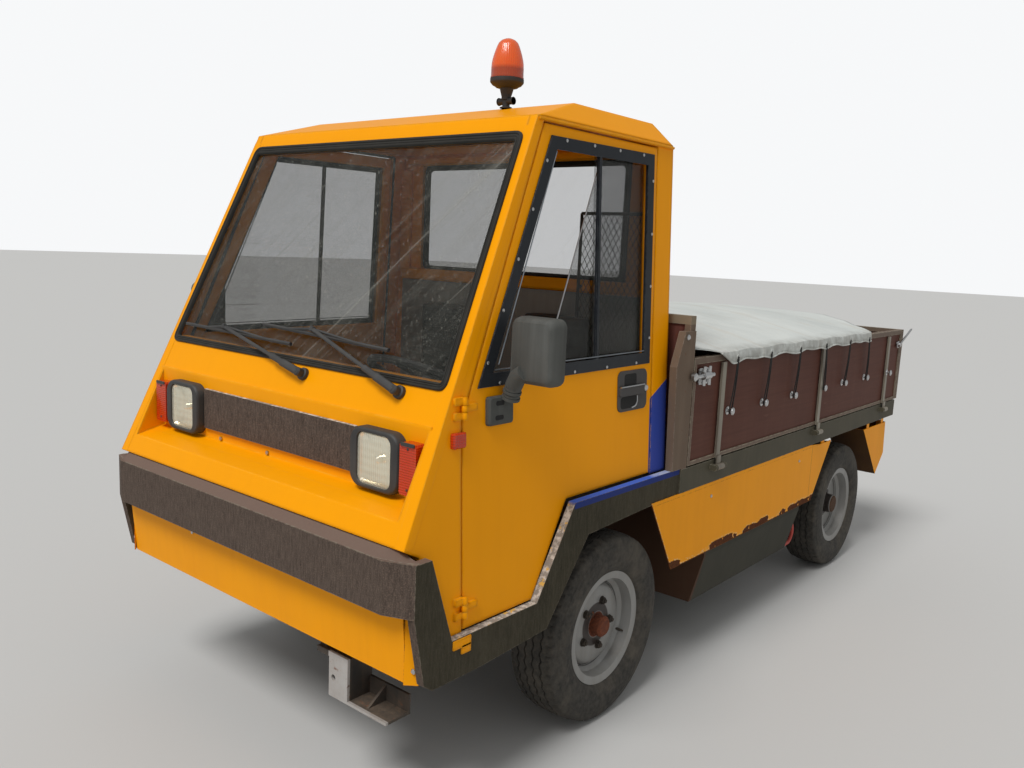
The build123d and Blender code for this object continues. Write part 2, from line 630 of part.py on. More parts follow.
def make_front_lamps():
    back_y = front_y(RECESS_TOP_Z)
    face_y = back_y - BEZEL_OUT
    panel = block(-LAMP_PANEL_HALF, LAMP_PANEL_HALF, back_y - LAMP_PANEL_T, back_y - SEAT_GAP,
                  LAMP_PANEL_LOW_Z, LAMP_PANEL_HIGH_Z)
    bezel = block(LAMP_X - BEZEL_W / 2, LAMP_X + BEZEL_W / 2, face_y, back_y - SEAT_GAP,
                  LAMP_Z - BEZEL_H / 2, LAMP_Z + BEZEL_H / 2)
    bezel = fillet(bezel.edges().filter_by(Axis.Y), 16.0)
    bowl = block(LAMP_X - LAMP_W / 2, LAMP_X + LAMP_W / 2, face_y - 5.0, back_y - 8.0,
                 LAMP_Z - LAMP_H / 2, LAMP_Z + LAMP_H / 2)
    bezel = bezel - bowl
    cut = block(LAMP_X - BEZEL_W / 2 - SEAT_GAP, LAMP_X + BEZEL_W / 2, face_y - 5.0, back_y + 5.0,
                LAMP_Z - BEZEL_H / 2, LAMP_Z + BEZEL_H / 2)
    panel = panel - cut - mirrored(cut)
    export("lamp_panel", panel, *both(bezel))

    lens = block(LAMP_X - LAMP_W / 2 + 0.5, LAMP_X + LAMP_W / 2 - 0.5, face_y + 3.0, face_y + 9.0,
                 LAMP_Z - LAMP_H / 2 + 0.5, LAMP_Z + LAMP_H / 2 - 0.5)
    lens = fillet(lens.edges().filter_by(Axis.Y), 14.0)
    export("lamp_lenses", *both(lens))

    x0 = LAMP_X + BEZEL_W / 2 + 4.0
    indicator = block(x0, x0 + INDICATOR_W, face_y + 2.0, back_y - SEAT_GAP,
                      LAMP_Z - INDICATOR_H / 2, LAMP_Z + INDICATOR_H / 2)
    indicator = fillet(indicator.edges().filter_by(Axis.Y), 8.0)
    export("indicators", *both(indicator))


def make_bumper():
    """The front beam with its cropped corners, and the bands down and back along the sills."""
    flat, end, deep = BUMPER_FLAT_HALF, BAND_X, BUMPER_Y + BUMPER_T
    beam = extrude_z([(-end, BUMPER_END_Y), (-flat, BUMPER_Y), (flat, BUMPER_Y), (end, BUMPER_END_Y),
                      (end, deep), (-end, deep)], BUMPER_LOW_Z, BUMPER_HIGH_Z)
    band = extrude_x(BAND, BAND_X - BAND_T, BAND_X)
    # Brackets between the beam and the cab front
    for x in (-RAIL_X, RAIL_X):
        beam = beam + block(x - 30.0, x + 30.0, deep - 1.0, APRON_BACK_Y - SEAT_GAP, BUMPER_LOW_Z + 14.0,
                            BUMPER_HIGH_Z - 14.0)
    # The band keeps clear of the leaning cab side
    cab_side = extrude_y([(0.0, 300.0), (side_x(300.0) + SEAT_GAP, 300.0), (side_x(900.0) + SEAT_GAP, 900.0),
                          (0.0, 900.0)], APRON_BACK_Y, CAB_REAR_Y + 1.0)
    above_sill = extrude_x(SIDE, 0.0, 900.0)
    band = band - (cab_side & above_sill)
    export("bumper_bands", beam + band + mirrored(band))


def skirt_tab(y, sheet_top):
    """A tab behind a skirt's upper edge, up to the platform's rail."""
    far = SKIRT_X - SHEET_T
    return block(far - SHEET_T, far, y - SKIRT_TAB_W / 2, y + SKIRT_TAB_W / 2, sheet_top - SKIRT_TAB_H,
                 BED_RAIL_LOW_Z - SEAT_GAP)


def make_skirts():
    """Folded yellow sheets: the front apron, the side skirts and the rear valances."""
    rake = (APRON_TOP_Z - APRON_LOW_Z) * APRON_RAKE
    low, high = APRON_LOW_Z, BUMPER_LOW_Z - SEAT_GAP
    y_low, y_high = APRON_Y + rake, APRON_Y
    face = extrude_x([(y_high, high), (y_low, low), (y_low + SHEET_T, low), (y_high + SHEET_T, high)],
                     -APRON_FOLD_X, APRON_FOLD_X)
    wing_end = BAND_X - BAND_T - SEAT_GAP
    wing = extrude_z([(APRON_FOLD_X - 1.0, APRON_Y + rake / 2), (wing_end, APRON_Y + 34.0),
                      (wing_end, APRON_Y + 34.0 + SHEET_T), (APRON_FOLD_X - 1.0, APRON_Y + rake / 2 + SHEET_T)],
                     low, high)
    lip = block(-APRON_FOLD_X, APRON_FOLD_X, y_low, y_low + 30.0, low, low + SHEET_T)
    apron = face + wing + mirrored(wing) + lip

    skirt = extrude_x(SKIRT, SKIRT_X - SHEET_T, SKIRT_X)
    valance = extrude_x(VALANCE, SKIRT_X - SHEET_T, SKIRT_X)
    flap = extrude_x([VALANCE[0], VALANCE[1], (VALANCE[1][0] + SHEET_T, VALANCE[1][1]),
                      (VALANCE[0][0] + SHEET_T, VALANCE[0][1])], VALANCE_IN, SKIRT_X)
    y_rear = VALANCE[3][0]
    rear_low = VALANCE[2][1]
    corner = extrude_z([(SKIRT_X, y_rear), (SKIRT_X - VALANCE_CHAMFER, y_rear + VALANCE_CHAMFER),
                        (SKIRT_X - VALANCE_CHAMFER - SHEET_T, y_rear + VALANCE_CHAMFER),
                        (SKIRT_X - SHEET_T, y_rear - SHEET_T)], rear_low, VALANCE_TOP_Z)
    back = block(VALANCE_IN, SKIRT_X - VALANCE_CHAMFER, y_rear + VALANCE_CHAMFER - SHEET_T,
                 y_rear + VALANCE_CHAMFER, rear_low, VALANCE_TOP_Z)
    valance = valance + flap + corner + back
    for y in SKIRT_TAB_Y:
        skirt = skirt + skirt_tab(y, SKIRT_TOP_Z)
    for y in VALANCE_TAB_Y:
        valance = valance + skirt_tab(y, VALANCE_TOP_Z)
    export("skirts", apron, *both(skirt), *both(valance))


def rail_outline(grow):
    """A rail's side outline, stepped up behind the cab, its top and bottom moved by a distance."""
    nose_y = RAIL_FRONT_Y + RAIL_NOSE_L
    low, high = RAIL_LOW_Z - grow, RAIL_LOW_Z + RAIL_H + grow
    low2, high2 = RAIL_HIGH_Z - grow, RAIL_HIGH_Z + RAIL_H + grow
    lean = 0.55 * grow
    under_y = STEP_Y + STEP_RUN / 2 + lean
    return [(RAIL_FRONT_Y, low + RAIL_NOSE_UP), (nose_y, low), (under_y, low), (under_y + STEP_RUN, low2),
            (RAIL_REAR_Y, low2), (RAIL_REAR_Y, high2), (STEP_Y + STEP_RUN - lean, high2),
            (STEP_Y - lean, high), (RAIL_FRONT_Y, high)]


def tow_bracket():
    """A holed plate under the left rail and an open tray beside it."""
    t = RAIL_WALL
    far = TOW_X + TOW_W
    plate = block(TOW_X, far, TOW_Y, TOW_Y + t, TOW_LOW_Z, RAIL_LOW_Z - SEAT_GAP)
    plate = plate - rod_y(TOW_EYE_R, TOW_EYE_X, TOW_Y - t, TOW_Y + 2 * t, TOW_EYE_Z)
    tray = block(TOW_X, TRAY_END_X, TOW_Y, TOW_BACK_Y, TOW_LOW_Z, TOW_LOW_Z + t)
    back = block(TOW_X, TRAY_END_X, TOW_BACK_Y - t, TOW_BACK_Y, TOW_LOW_Z, TOW_EYE_Z)
    cheek = extrude_x([(TOW_Y + t, TOW_LOW_Z), (TOW_BACK_Y, TOW_LOW_Z), (TOW_BACK_Y, TOW_EYE_Z)],
                      CHEEK_X, CHEEK_X + t)
    pad = block(RAIL_X, far, TOW_Y, TOW_BACK_Y, RAIL_LOW_Z - 2 * t, RAIL_LOW_Z - SEAT_GAP)
    slope = RAIL_NOSE_UP / RAIL_NOSE_L
    front_z = RAIL_LOW_Z + RAIL_NOSE_UP - SEAT_GAP
    back_z = front_z - slope * (TOW_BACK_Y - RAIL_FRONT_Y)
    wedge = extrude_x([(RAIL_FRONT_Y, RAIL_LOW_Z - t), (TOW_BACK_Y, RAIL_LOW_Z - t), (TOW_BACK_Y, back_z),
                       (RAIL_FRONT_Y, front_z)], RAIL_X, RAIL_X + RAIL_W / 2)
    riser = block(far - t, far, TOW_Y, TOW_BACK_Y, TOW_LOW_Z, RAIL_LOW_Z - SEAT_GAP)
    return plate + tray + back + cheek + pad + wedge + riser


def make_chassis():
    """Channel rails, cross members let in between their flanges, and the towing bracket."""
    web_x = RAIL_X + RAIL_W / 2
    rail = extrude_x(rail_outline(0.0), RAIL_X - RAIL_W / 2, web_x)
    rail = rail - extrude_x(rail_outline(-RAIL_WALL), RAIL_X - RAIL_W / 2 - 1.0, web_x - RAIL_WALL)
    reach = web_x - RAIL_WALL - SEAT_GAP
    members = []
    for table, rail_z in ((LOW_MEMBERS, RAIL_LOW_Z), (HIGH_MEMBERS, RAIL_HIGH_Z)):
        for y, up, height in table:
            low = rail_z + up
            members.append(block(-reach, reach, y - MEMBER_L / 2, y + MEMBER_L / 2, low, low + height))
    export("chassis_frame", *both(rail), *members, tow_bracket())


def spring_pack(x, y_mid, z_mid, half):
    """A pack of leaves, each shorter than the one above, with eyes on the longest."""
    leaves = None
    for i in range(SPRING_LEAVES):
        length = half * (1.0 - 0.17 * i)
        rise = SPRING_RISE * (length / half) ** 2
        z = z_mid - LEAF_T * i
        top = ThreePointArc((y_mid - length, z + rise), (y_mid, z), (y_mid + length, z + rise))
        under = ThreePointArc((y_mid + length, z + rise - LEAF_T), (y_mid, z - LEAF_T),
                              (y_mid - length, z + rise - LEAF_T))
        outline = [top, Line(top @ 1, under @ 0), under, Line(under @ 1, top @ 0)]
        leaf = extrude(Plane.YZ.offset(x - SPRING_W / 2) * make_face(outline), SPRING_W)
        leaves = leaf if leaves is None else leaves + leaf
    for end in (-1, 1):
        eye = rod_x(SPRING_EYE_R, x - SPRING_W / 2, x + SPRING_W / 2, y_mid + end * half,
                    z_mid + SPRING_RISE - EYE_DROP)
        leaves = leaves + eye
    return leaves


def hangers(x, y, z_eye, z_rail):
    """The two cheeks of a bracket from the rail down to a spring eye."""
    outline = [(y - 34.0, z_rail), (y - 20.0, z_eye - 20.0), (y + 20.0, z_eye - 20.0), (y + 34.0, z_rail)]
    near = SPRING_W / 2 + SEAT_GAP
    return [extrude_x(outline, x + near, x + near + HANGER_T),
            extrude_x(outline, x - near - HANGER_T, x - near)]


def springs(y, z_seat, half, z_rail):
    """Both spring packs on an axle, resting on its seats, and their hangers."""
    spring_z = z_seat + SEAT_GAP + LEAF_T * SPRING_LEAVES
    parts = []
    for x in (-SPRING_X, SPRING_X):
        parts.append(spring_pack(x, y, spring_z, half))
        for end_y in (y - half, y + half):
            parts += hangers(x, end_y, spring_z + SPRING_RISE - EYE_DROP, z_rail)
    return parts


def make_front_axle():
    beam_z = TYRE_R
    beam_top = beam_z + BEAM_H / 2
    axle = block(-KINGPIN_X + 10.0, KINGPIN_X - 10.0, -BEAM_W / 2, BEAM_W / 2, beam_z - BEAM_H / 2, beam_top)
    boss = KING_BOSS_H / 2
    for x in (-KINGPIN_X, KINGPIN_X):
        axle = axle + rod_z(KING_BOSS_R, x, 0.0, beam_z - boss, beam_z + boss)
    for x in (-KINGPIN_X, KINGPIN_X):
        axle = axle - rod_z(KINGPIN_R + PIN_CLEAR, x, 0.0, beam_z - 2 * boss, beam_z + 2 * boss)
    seat_top = beam_top + 4.0
    for x in (-SPRING_X, SPRING_X):
        axle = axle + block(x - SPRING_SEAT_W / 2, x + SPRING_SEAT_W / 2, -SPRING_SEAT_L / 2, SPRING_SEAT_L / 2,
                            beam_top - 4.0, seat_top)
    export("front_axle", axle, *springs(0.0, seat_top, FRONT_SPRING_HALF, RAIL_LOW_Z))


def knuckle():
    """The left steering knuckle: forked lugs round the axle's boss, a spindle and a steering arm."""
    x, z = KINGPIN_X, TYRE_R
    boss = KING_BOSS_H / 2
    pin = rod_z(KINGPIN_R, x, 0.0, z - boss - LUG_T - 4.0, z + boss + LUG_T + 4.0)
    fork = pin
    for z0 in (z - boss - LUG_T - 1.0, z + boss + 1.0):
        lug = rod_z(KING_BOSS_R, x, 0.0, z0, z0 + LUG_T)
        lug = lug + block(x, x + 52.0, -KING_BOSS_R, KING_BOSS_R, z0, z0 + LUG_T)
        fork = fork + lug
    fork = fork + block(x + 34.0, x + 52.0, -30.0, 30.0, z - boss - LUG_T - 1.0, z + boss + LUG_T + 1.0)
    plate_x = BACK_PLATE_X
    fork = fork + rod_x(DRUM_R - 6.0, plate_x, plate_x + BACK_PLATE_T, 0.0, z)
    fork = fork + rod_x(SPINDLE_R, plate_x, WHEEL_X + DISC_X + HUB_OUT - 14.0, 0.0, z)
    # The arm runs straight back, so that the tie rod keeps both wheels parallel
    arm_z = z - boss - LUG_T + 2.0
    half = STEER_ARM_W / 2
    arm = block(x - half, x + half, 0.0, STEER_ARM_Y, arm_z, arm_z + STEER_ARM_T)
    arm = arm + rod_z(half + 2.0, x, STEER_ARM_Y, arm_z, arm_z + STEER_ARM_T)
    arm = arm - rod_z(TIE_PIN_R + PIN_CLEAR, x, STEER_ARM_Y, arm_z - 1.0, arm_z + STEER_ARM_T + 1.0)
    return fork + arm


def make_steering():
    left = knuckle()
    export("knuckle_left", left)
    export("knuckle_right", mirrored(left))
    # Tie rod under the arms, a ball joint at each end
    z = TYRE_R - KING_BOSS_H / 2 - LUG_T + 2.0 - BALL_R - SEAT_GAP
    x = KINGPIN_X
    rod = rod_x(TIE_ROD_R, -x, x, STEER_ARM_Y, z)
    for end in (-x, x):
        rod = rod + rod_z(BALL_R, end, STEER_ARM_Y, z - BALL_R, z + BALL_R)
        rod = rod + rod_z(TIE_PIN_R, end, STEER_ARM_Y, z, z + BALL_R + 30.0)
    export("tie_rod", rod)


def wheel_rim(hub_r, hub_out, bore_r, nuts_on):
    """A dished steel wheel about the X axis, its outer side at +X, with hub and brake drum."""
    half = RIM_W / 2
    seat = BEAD_R - SEAT_GAP
    outline = [(-half, FLANGE_R), (-half + 7.0, FLANGE_R), (-half + 11.0, seat), (-half + 40.0, seat - 4.0),
               (-half + 52.0, seat - 22.0), (half - 62.0, seat - 22.0), (half - 46.0, seat - 4.0),
               (half - 11.0, seat), (half - 7.0, FLANGE_R), (half, FLANGE_R), (half - 4.0, seat - 8.0),
               (half - 42.0, seat - 13.0), (half - 58.0, seat - 31.0), (-half + 56.0, seat - 31.0),
               (-half + 42.0, seat - 13.0), (-half + 4.0, seat - 8.0)]
    barrel = revolve(Plane.XY * make_face(Polyline(*outline, close=True)), Axis.X)
    dish = [(DISC_X, 40.0), (DISC_X, DISC_R - 14.0), (DISC_X - 5.0, DISC_R), (DISC_X - 5.0 - RIM_T, DISC_R),
            (DISC_X - RIM_T, DISC_R - 18.0), (DISC_X - RIM_T, 40.0)]
    disc = revolve(Plane.XY * make_face(Polyline(*dish, close=True)), Axis.X)
    hub = [(-20.0, 0.0), (-20.0, 45.0), (DISC_X, 45.0), (DISC_X, hub_r + 4.0), (DISC_X + 10.0, hub_r),
           (DISC_X + hub_out - 8.0, hub_r), (DISC_X + hub_out, hub_r - 8.0), (DISC_X + hub_out, 0.0)]
    hub = revolve(Plane.XY * make_face(Polyline(*hub, close=True)), Axis.X)
    drum_x = DISC_X - RIM_T
    drum = [(drum_x, 40.0), (drum_x, DRUM_R), (drum_x - DRUM_W, DRUM_R), (drum_x - DRUM_W, DRUM_R - 8.0),
            (drum_x - 8.0, DRUM_R - 8.0), (drum_x - 8.0, 40.0)]
    drum = revolve(Plane.XY * make_face(Polyline(*drum, close=True)), Axis.X)
    rim = barrel + disc + hub + drum
    for i in range(nuts_on):
        a = radians(360.0 / nuts_on * i + 18.0)
        nut = extrude(Plane.YZ.offset(DISC_X - 1.0) * Pos(STUD_CIRCLE_R * cos(a), STUD_CIRCLE_R * sin(a))
                      * RegularPolygon(NUT_R, 6), 17.0)
        rim = rim + nut
    rim = rim - rod_x(bore_r, -200.0, DISC_X + hub_out - 12.0, 0.0, 0.0)
    return rim


def tyre():
    """A tyre about the X axis: flat crown, shoulders and bulged sidewalls down to the beads."""
    # Half width, radius, from the crown to the bead
    half = ((TYRE_CROWN_W / 2, TYRE_R), (TYRE_SHOULDER_W / 2, TYRE_R - 8.0), (TYRE_W / 2, TYRE_WIDEST_R),
            (TYRE_W / 2 - 5.0, BEAD_R + 44.0), (RIM_W / 2 - 1.0, FLANGE_R + 1.5),
            (RIM_W / 2 - 8.0, FLANGE_R + 1.5), (RIM_W / 2 - 12.0, BEAD_R))
    outline = [(x, r) for x, r in half] + [(-x, r) for x, r in reversed(half)]
    return revolve(Plane.XY * make_face(Polyline(*outline, close=True)), Axis.X)


def make_wheels():
    front_bore = SPINDLE_R + PIN_CLEAR
    front = wheel_rim(HUB_R, HUB_OUT, front_bore, 5)
    rear = wheel_rim(DRIVE_HUB_R - 14.0, HUB_OUT - 10.0, front_bore, 5)
    rubber = tyre()
    for name, rim, y in (("front", front, 0.0), ("rear", rear, WHEELBASE)):
        place = Pos(WHEEL_X, y, TYRE_R)
        export(f"rim_{name}_left", place * rim)
        export(f"tyre_{name}_left", place * rubber)
        export(f"rim_{name}_right", mirrored(place * rim))
        export(f"tyre_{name}_right", mirrored(place * rubber))


def make_rear_axle():
    y, z = WHEELBASE, TYRE_R
    plate = BACK_PLATE_X + BACK_PLATE_T
    end = WHEEL_X + DISC_X + HUB_OUT - 24.0
    axle = rod_x(AXLE_TUBE_R, -BACK_PLATE_X, BACK_PLATE_X, y, z)
    axle = axle + rod_x(SPINDLE_R, -end, end, y, z)
    axle = axle + rod_x(DIFF_R, -DIFF_W / 2, DIFF_W / 2, y, z)
    axle = axle + rod_x(DIFF_R - 30.0, -DIFF_W / 2 - 55.0, DIFF_W / 2 + 55.0, y, z)
    for x in (-plate, BACK_PLATE_X):
        axle = axle + rod_x(DRUM_R - 6.0, x, x + BACK_PLATE_T, y, z)
    seat_top = z + AXLE_TUBE_R + 6.0
    for x in (-SPRING_X, SPRING_X):
        axle = axle + block(x - SPRING_SEAT_W / 2, x + SPRING_SEAT_W / 2, y - SPRING_SEAT_L / 2,
                            y + SPRING_SEAT_L / 2, z, seat_top)
    # Drive motor ahead of the gear case
    motor_y = y - MOTOR_L - 60.0
    axle = axle + rod_y(MOTOR_R, 0.0, motor_y, motor_y + MOTOR_L, z)
    axle = axle + rod_y(MOTOR_R - 30.0, 0.0, motor_y - 25.0, motor_y, z)
    export("rear_axle", axle, *springs(y, seat_top, REAR_SPRING_HALF, RAIL_HIGH_Z))


def make_battery():
    low, mid, high = BATTERY_LOW_Z, BATTERY_SIDE_Z, BATTERY_HIGH_Z
    foot, side = BATTERY_FOOT_X, BATTERY_X
    outline = [(-foot, low), (foot, low), (side, mid), (side, high), (-side, high), (-side, mid)]
    export("battery_box", extrude_y(outline, BATTERY_FRONT_Y, BATTERY_REAR_Y))


def gate_hinges_side():
    """The platform's lugs and pins for one dropside, at the left."""
    x, z = BED_HALF_W + GATE_PIN_OUT, GATE_PIN_Z
    parts = None
    for y in STRAP_Y:
        half = GATE_BARREL_L / 2 + 1.0
        bar = rod_y(GATE_PIN_R, x, y - half - LUG_W, y + half + LUG_W, z)
        for y0 in (y - half - LUG_W, y + half):
            lug = rod_y(GATE_BARREL_R, x, y0, y0 + LUG_W, z)
            lug = lug + block(BED_HALF_W - 4.0, x, y0, y0 + LUG_W, z - GATE_BARREL_R, z + GATE_BARREL_R)
            bar = bar + lug
        parts = bar if parts is None else parts + bar
    return parts


def gate_hinges_tail():
    y, z = BED_REAR_Y + GATE_T + GATE_PIN_OUT, GATE_PIN_Z
    parts = None
    for x in TAIL_STRAP_X:
        half = GATE_BARREL_L / 2 + 1.0
        bar = rod_x(GATE_PIN_R, x - half - LUG_W, x + half + LUG_W, y, z)
        for x0 in (x - half - LUG_W, x + half):
            lug = rod_x(GATE_BARREL_R, x0, x0 + LUG_W, y, z)
            lug = lug + block(x0, x0 + LUG_W, BED_REAR_Y - 4.0, y, z - GATE_BARREL_R, z + GATE_BARREL_R)
            bar = bar + lug
        parts = bar if parts is None else parts + bar
    return parts


def make_platform():
    half, low = BED_HALF_W, BED_RAIL_LOW_Z
    side = block(half - BED_RAIL_W, half, BED_FRONT_Y, BED_REAR_Y, low, DECK_Z)
    frame = side + mirrored(side)
    for y0, y1 in ((BED_FRONT_Y, BED_FRONT_Y + BED_RAIL_W), (BED_REAR_Y - BED_RAIL_W, BED_REAR_Y)):
        frame = frame + block(-half + 5.0, half - 5.0, y0, y1, low, DECK_Z)
    first, last = BED_FRONT_Y + 120.0, BED_REAR_Y - 140.0
    bearer_low = RAIL_HIGH_Z + RAIL_H
    deck_low = DECK_Z - DECK_T
    for i in range(BEARER_COUNT):
        y = first + (last - first) * i / (BEARER_COUNT - 1)
        frame = frame + block(-half + 10.0, half - 10.0, y - BEARER_W / 2, y + BEARER_W / 2, low, deck_low)
        if y > STEP_Y + 160.0:
            for x in (-RAIL_X, RAIL_X):
                frame = frame + block(x - 28.0, x + 28.0, y - BEARER_W / 2, y + BEARER_W / 2,
                                      bearer_low, low + 2.0)
    hinges = gate_hinges_side()
    frame = frame + hinges + mirrored(hinges) + gate_hinges_tail()
    export("bed_rails", frame)

    inner = half - BED_RAIL_W - SEAT_GAP
    export("bed_deck", block(-inner, inner, HEADBOARD_Y + HEADBOARD_T + SEAT_GAP,
                             BED_REAR_Y - BED_RAIL_W - SEAT_GAP, deck_low, DECK_Z))

    ledge, foot = SEAT_DECK_Z + SEAT_GAP, DECK_Z + SEAT_GAP
    board_back = HEADBOARD_Y + HEADBOARD_T
    rim_front, rim_low, rim_end = HEADBOARD_Y - HEAD_RIM_OVER, HEADBOARD_Z - HEAD_RIM_H, half - 4.0
    post = extrude_x([(POST_FOOT_Y, ledge), (BED_FRONT_Y, ledge), (BED_FRONT_Y, foot), (board_back, foot),
                      (board_back, POST_TOP_Z), (POST_HEAD_Y, POST_TOP_Z), (POST_WAIST_Y, POST_WAIST_Z)],
                     half - POST_W, half)
    post = post + block(half - POST_W, rim_end, rim_front, board_back, POST_TOP_Z - 1.0, rim_low)
    board = block(-half + POST_W, half - POST_W, HEADBOARD_Y, board_back, foot, HEADBOARD_Z)
    top = block(-rim_end, rim_end, rim_front, board_back, rim_low, HEADBOARD_Z)
    export("headboard", board + top + post + mirrored(post))


def gate_frame(length, straps):
    """A steel rim of angle round a board, with straps down to the pins.

    Built flat against the plane x = 0, its outer side, along Y from 0 to length."""
    z0, z1 = DECK_Z + GATE_GAP, GATE_TOP_Z
    rim = block(-GATE_T, 0.0, 0.0, length, z0, z1)
    rim = rim - block(-GATE_T - 1.0, 1.0, GATE_RIM_END, length - GATE_RIM_END, z0 + GATE_RIM_LOW,
                      z1 - GATE_RIM_TOP)
    pin_x, pin_z = GATE_PIN_OUT, GATE_PIN_Z
    for y in straps:
        strap = block(-1.0, STRAP_T, y - STRAP_W / 2, y + STRAP_W / 2, z0, STRAP_TOP_Z)
        foot = extrude_x([(y - STRAP_W / 2, z0 + 4.0), (y + STRAP_W / 2, z0 + 4.0),
                          (y + STRAP_W / 2, pin_z), (y - STRAP_W / 2, pin_z)], pin_x - 9.0, pin_x - 3.0)
        barrel = rod_y(GATE_BARREL_R, pin_x, y - GATE_BARREL_L / 2, y + GATE_BARREL_L / 2, pin_z)
        shelf = block(0.0, pin_x - 3.0, y - STRAP_W / 2, y + STRAP_W / 2, z0, z0 + 8.0)
        hole = rod_y(GATE_PIN_R + PIN_CLEAR, pin_x, y - 40.0, y + 40.0, pin_z)
        rim = rim + strap + shelf + foot + barrel - hole
    return rim


def gate_board(length):
    z0, z1 = DECK_Z + GATE_GAP, GATE_TOP_Z
    gap = SEAT_GAP
    return block(-GATE_T + 4.0, -GATE_T + 4.0 + BOARD_T, GATE_RIM_END + gap, length - GATE_RIM_END - gap,
                 z0 + GATE_RIM_LOW + gap, z1 - GATE_RIM_TOP - gap)


def make_gates():
    y0 = HEADBOARD_Y + HEADBOARD_T + PANEL_GAP
    y1 = BED_REAR_Y - PANEL_GAP
    side = gate_frame(y1 - y0, [y - y0 for y in STRAP_Y])
    board = gate_board(y1 - y0)
    at = Pos(BED_HALF_W, y0, 0.0)
    export("dropside_left_frame", at * side)
    export("dropside_left_board", at * board)
    export("dropside_right_frame", mirrored(at * side))
    export("dropside_right_board", mirrored(at * board))
    width = 2.0 * BED_HALF_W
    tail = gate_frame(width, [x + BED_HALF_W for x in TAIL_STRAP_X])
    tail_board = gate_board(width)
    turn = Pos(BED_HALF_W, BED_REAR_Y + GATE_T, 0.0) * Rot(0, 0, 90)
    export("tailgate_frame", turn * tail)
    export("tailgate_board", turn * tail_board)


def make_tarp():
    """The cover: one shallow arch of cloth over the dropsides, a corner turned back at the tail."""
    half, z = TARP_HALF_W, TARP_EDGE_Z
    over = ThreePointArc((-half, z + TARP_T), (0.0, z + TARP_CROWN + TARP_T), (half, z + TARP_T))
    under = ThreePointArc((half, z), (0.0, z + TARP_CROWN), (-half, z))
    outline = make_face([over, Line(over @ 1, under @ 0), under, Line(under @ 1, over @ 0)])
    y0, y1 = HEADBOARD_Y + HEADBOARD_T + SEAT_GAP, BED_REAR_Y + 20.0
    plane = Plane(origin=(0, y1, 0), x_dir=(1, 0, 0), z_dir=(0, -1, 0))
    sheet = extrude(plane * outline, y1 - y0)
    corner = extrude_z([(TARP_CUT_X, y1 + 1.0), (half + 5.0, TARP_CUT_Y), (half + 5.0, y1 + 1.0)],
                       z - 50.0, z + 200.0)
    export("tarp", sheet - corner)


def make_furniture():
    deck = SEAT_DECK_Z
    back_y = CAB_REAR_Y - WALL - 6.0
    cushion = block(SEAT_X - SEAT_W / 2, SEAT_X + SEAT_W / 2, back_y - BACK_T - SEAT_D, back_y - 20.0,
                    deck + SEAT_GAP, deck + SEAT_T)
    cushion = fillet(cushion.edges().filter_by(Axis.Z), 40.0)
    rest = block(SEAT_X - SEAT_W / 2 + 10.0, SEAT_X + SEAT_W / 2 - 10.0, back_y - BACK_T, back_y,
                 deck + SEAT_T + SEAT_GAP, deck + SEAT_T + BACK_H)
    rest = fillet(rest.edges().filter_by(Axis.Y), 40.0)
    export("seats", *both(cushion), *both(rest))

    inner = WALL * hypot(1.0, FRONT_SLOPE) + SEAT_GAP
    pan_y = front_y(RECESS_TOP_Z) + RECESS_WALL + 1.0
    lip_z = NOSE_Z + (pan_y - inner - NOSE_Y) / FRONT_SLOPE
    dash = extrude_x([(pan_y, lip_z), (front_y(DASH_TOP_Z) + inner, DASH_TOP_Z),
                      (DASH_BROW_Y, DASH_BROW_Z), (DASH_CHIN_Y, DASH_CHIN_Z), (DASH_FOOT_Y, DASH_LOW_Z),
                      (pan_y, DASH_LOW_Z)], -900.0, 900.0)
    dash = dash & between_sides(3.0)
    cx, cy, cz = WHEEL_CENTRE
    down = (0.0, -sin(radians(COLUMN_RAKE)), -cos(radians(COLUMN_RAKE)))
    reach = (cz - FLOOR_Z) / cos(radians(COLUMN_RAKE))
    foot = (cx, cy + down[1] * reach, FLOOR_Z + SEAT_GAP)
    below = WHEEL_HUB_H / 2 + 6.0 + SEAT_GAP
    neck = (cx, cy + down[1] * below, cz + down[2] * below)
    column = rod_between(COLUMN_R, neck, foot)
    column = column + block(cx - BRACKET_HALF, cx + BRACKET_HALF, *BRACKET_Y, *BRACKET_Z)
    below_floor = block(0.0, 2 * CAB_HALF_W, -2 * WHEELBASE, 0.0, 0.0, FLOOR_Z + SEAT_GAP)
    export("dashboard", dash + (column - below_floor))

    plane = Plane(origin=WHEEL_CENTRE, z_dir=(0.0, sin(radians(COLUMN_RAKE)), cos(radians(COLUMN_RAKE))))
    ring = plane * revolve(Plane.XZ * Pos(WHEEL_RING_R, 0) * RegularPolygon(WHEEL_RING_T, 8), Axis.Z)
    hub = plane * Pos(0, 0, -6.0) * Cylinder(WHEEL_HUB_R, WHEEL_HUB_H)
    wheel = ring + hub
    for angle in (0.0, 180.0, 270.0):
        spoke_place = plane * Rot(0, 0, angle) * Pos(WHEEL_RING_R / 2 + 10.0, 0, -2.0)
        spoke = spoke_place * Box(WHEEL_RING_R - 20.0, SPOKE_W, 6.0)
        wheel = wheel + spoke
    export("steering_wheel", wheel)


def make_wipers():
    """Two arms and blades lying on the windscreen."""
    parts = []
    for px, pz, ax, az, bx0, bz0, bx1, bz1 in WIPERS:
        def at(x, z, out):
            scale = hypot(1.0, FRONT_SLOPE)
            return (x, front_y(z) - out / scale, z + out * FRONT_SLOPE / scale)
        pivot = rod_between(PIVOT_R, at(px, pz, 0.5), at(px, pz, 30.0))
        arm = rod_between(ARM_R, at(px, pz, 24.0), at(ax, az, 24.0))
        blade = rod_between(BLADE_R, at(bx0, bz0, 18.0), at(bx1, bz1, 18.0))
        parts.append(pivot + arm + blade)
    export("wipers", *parts)


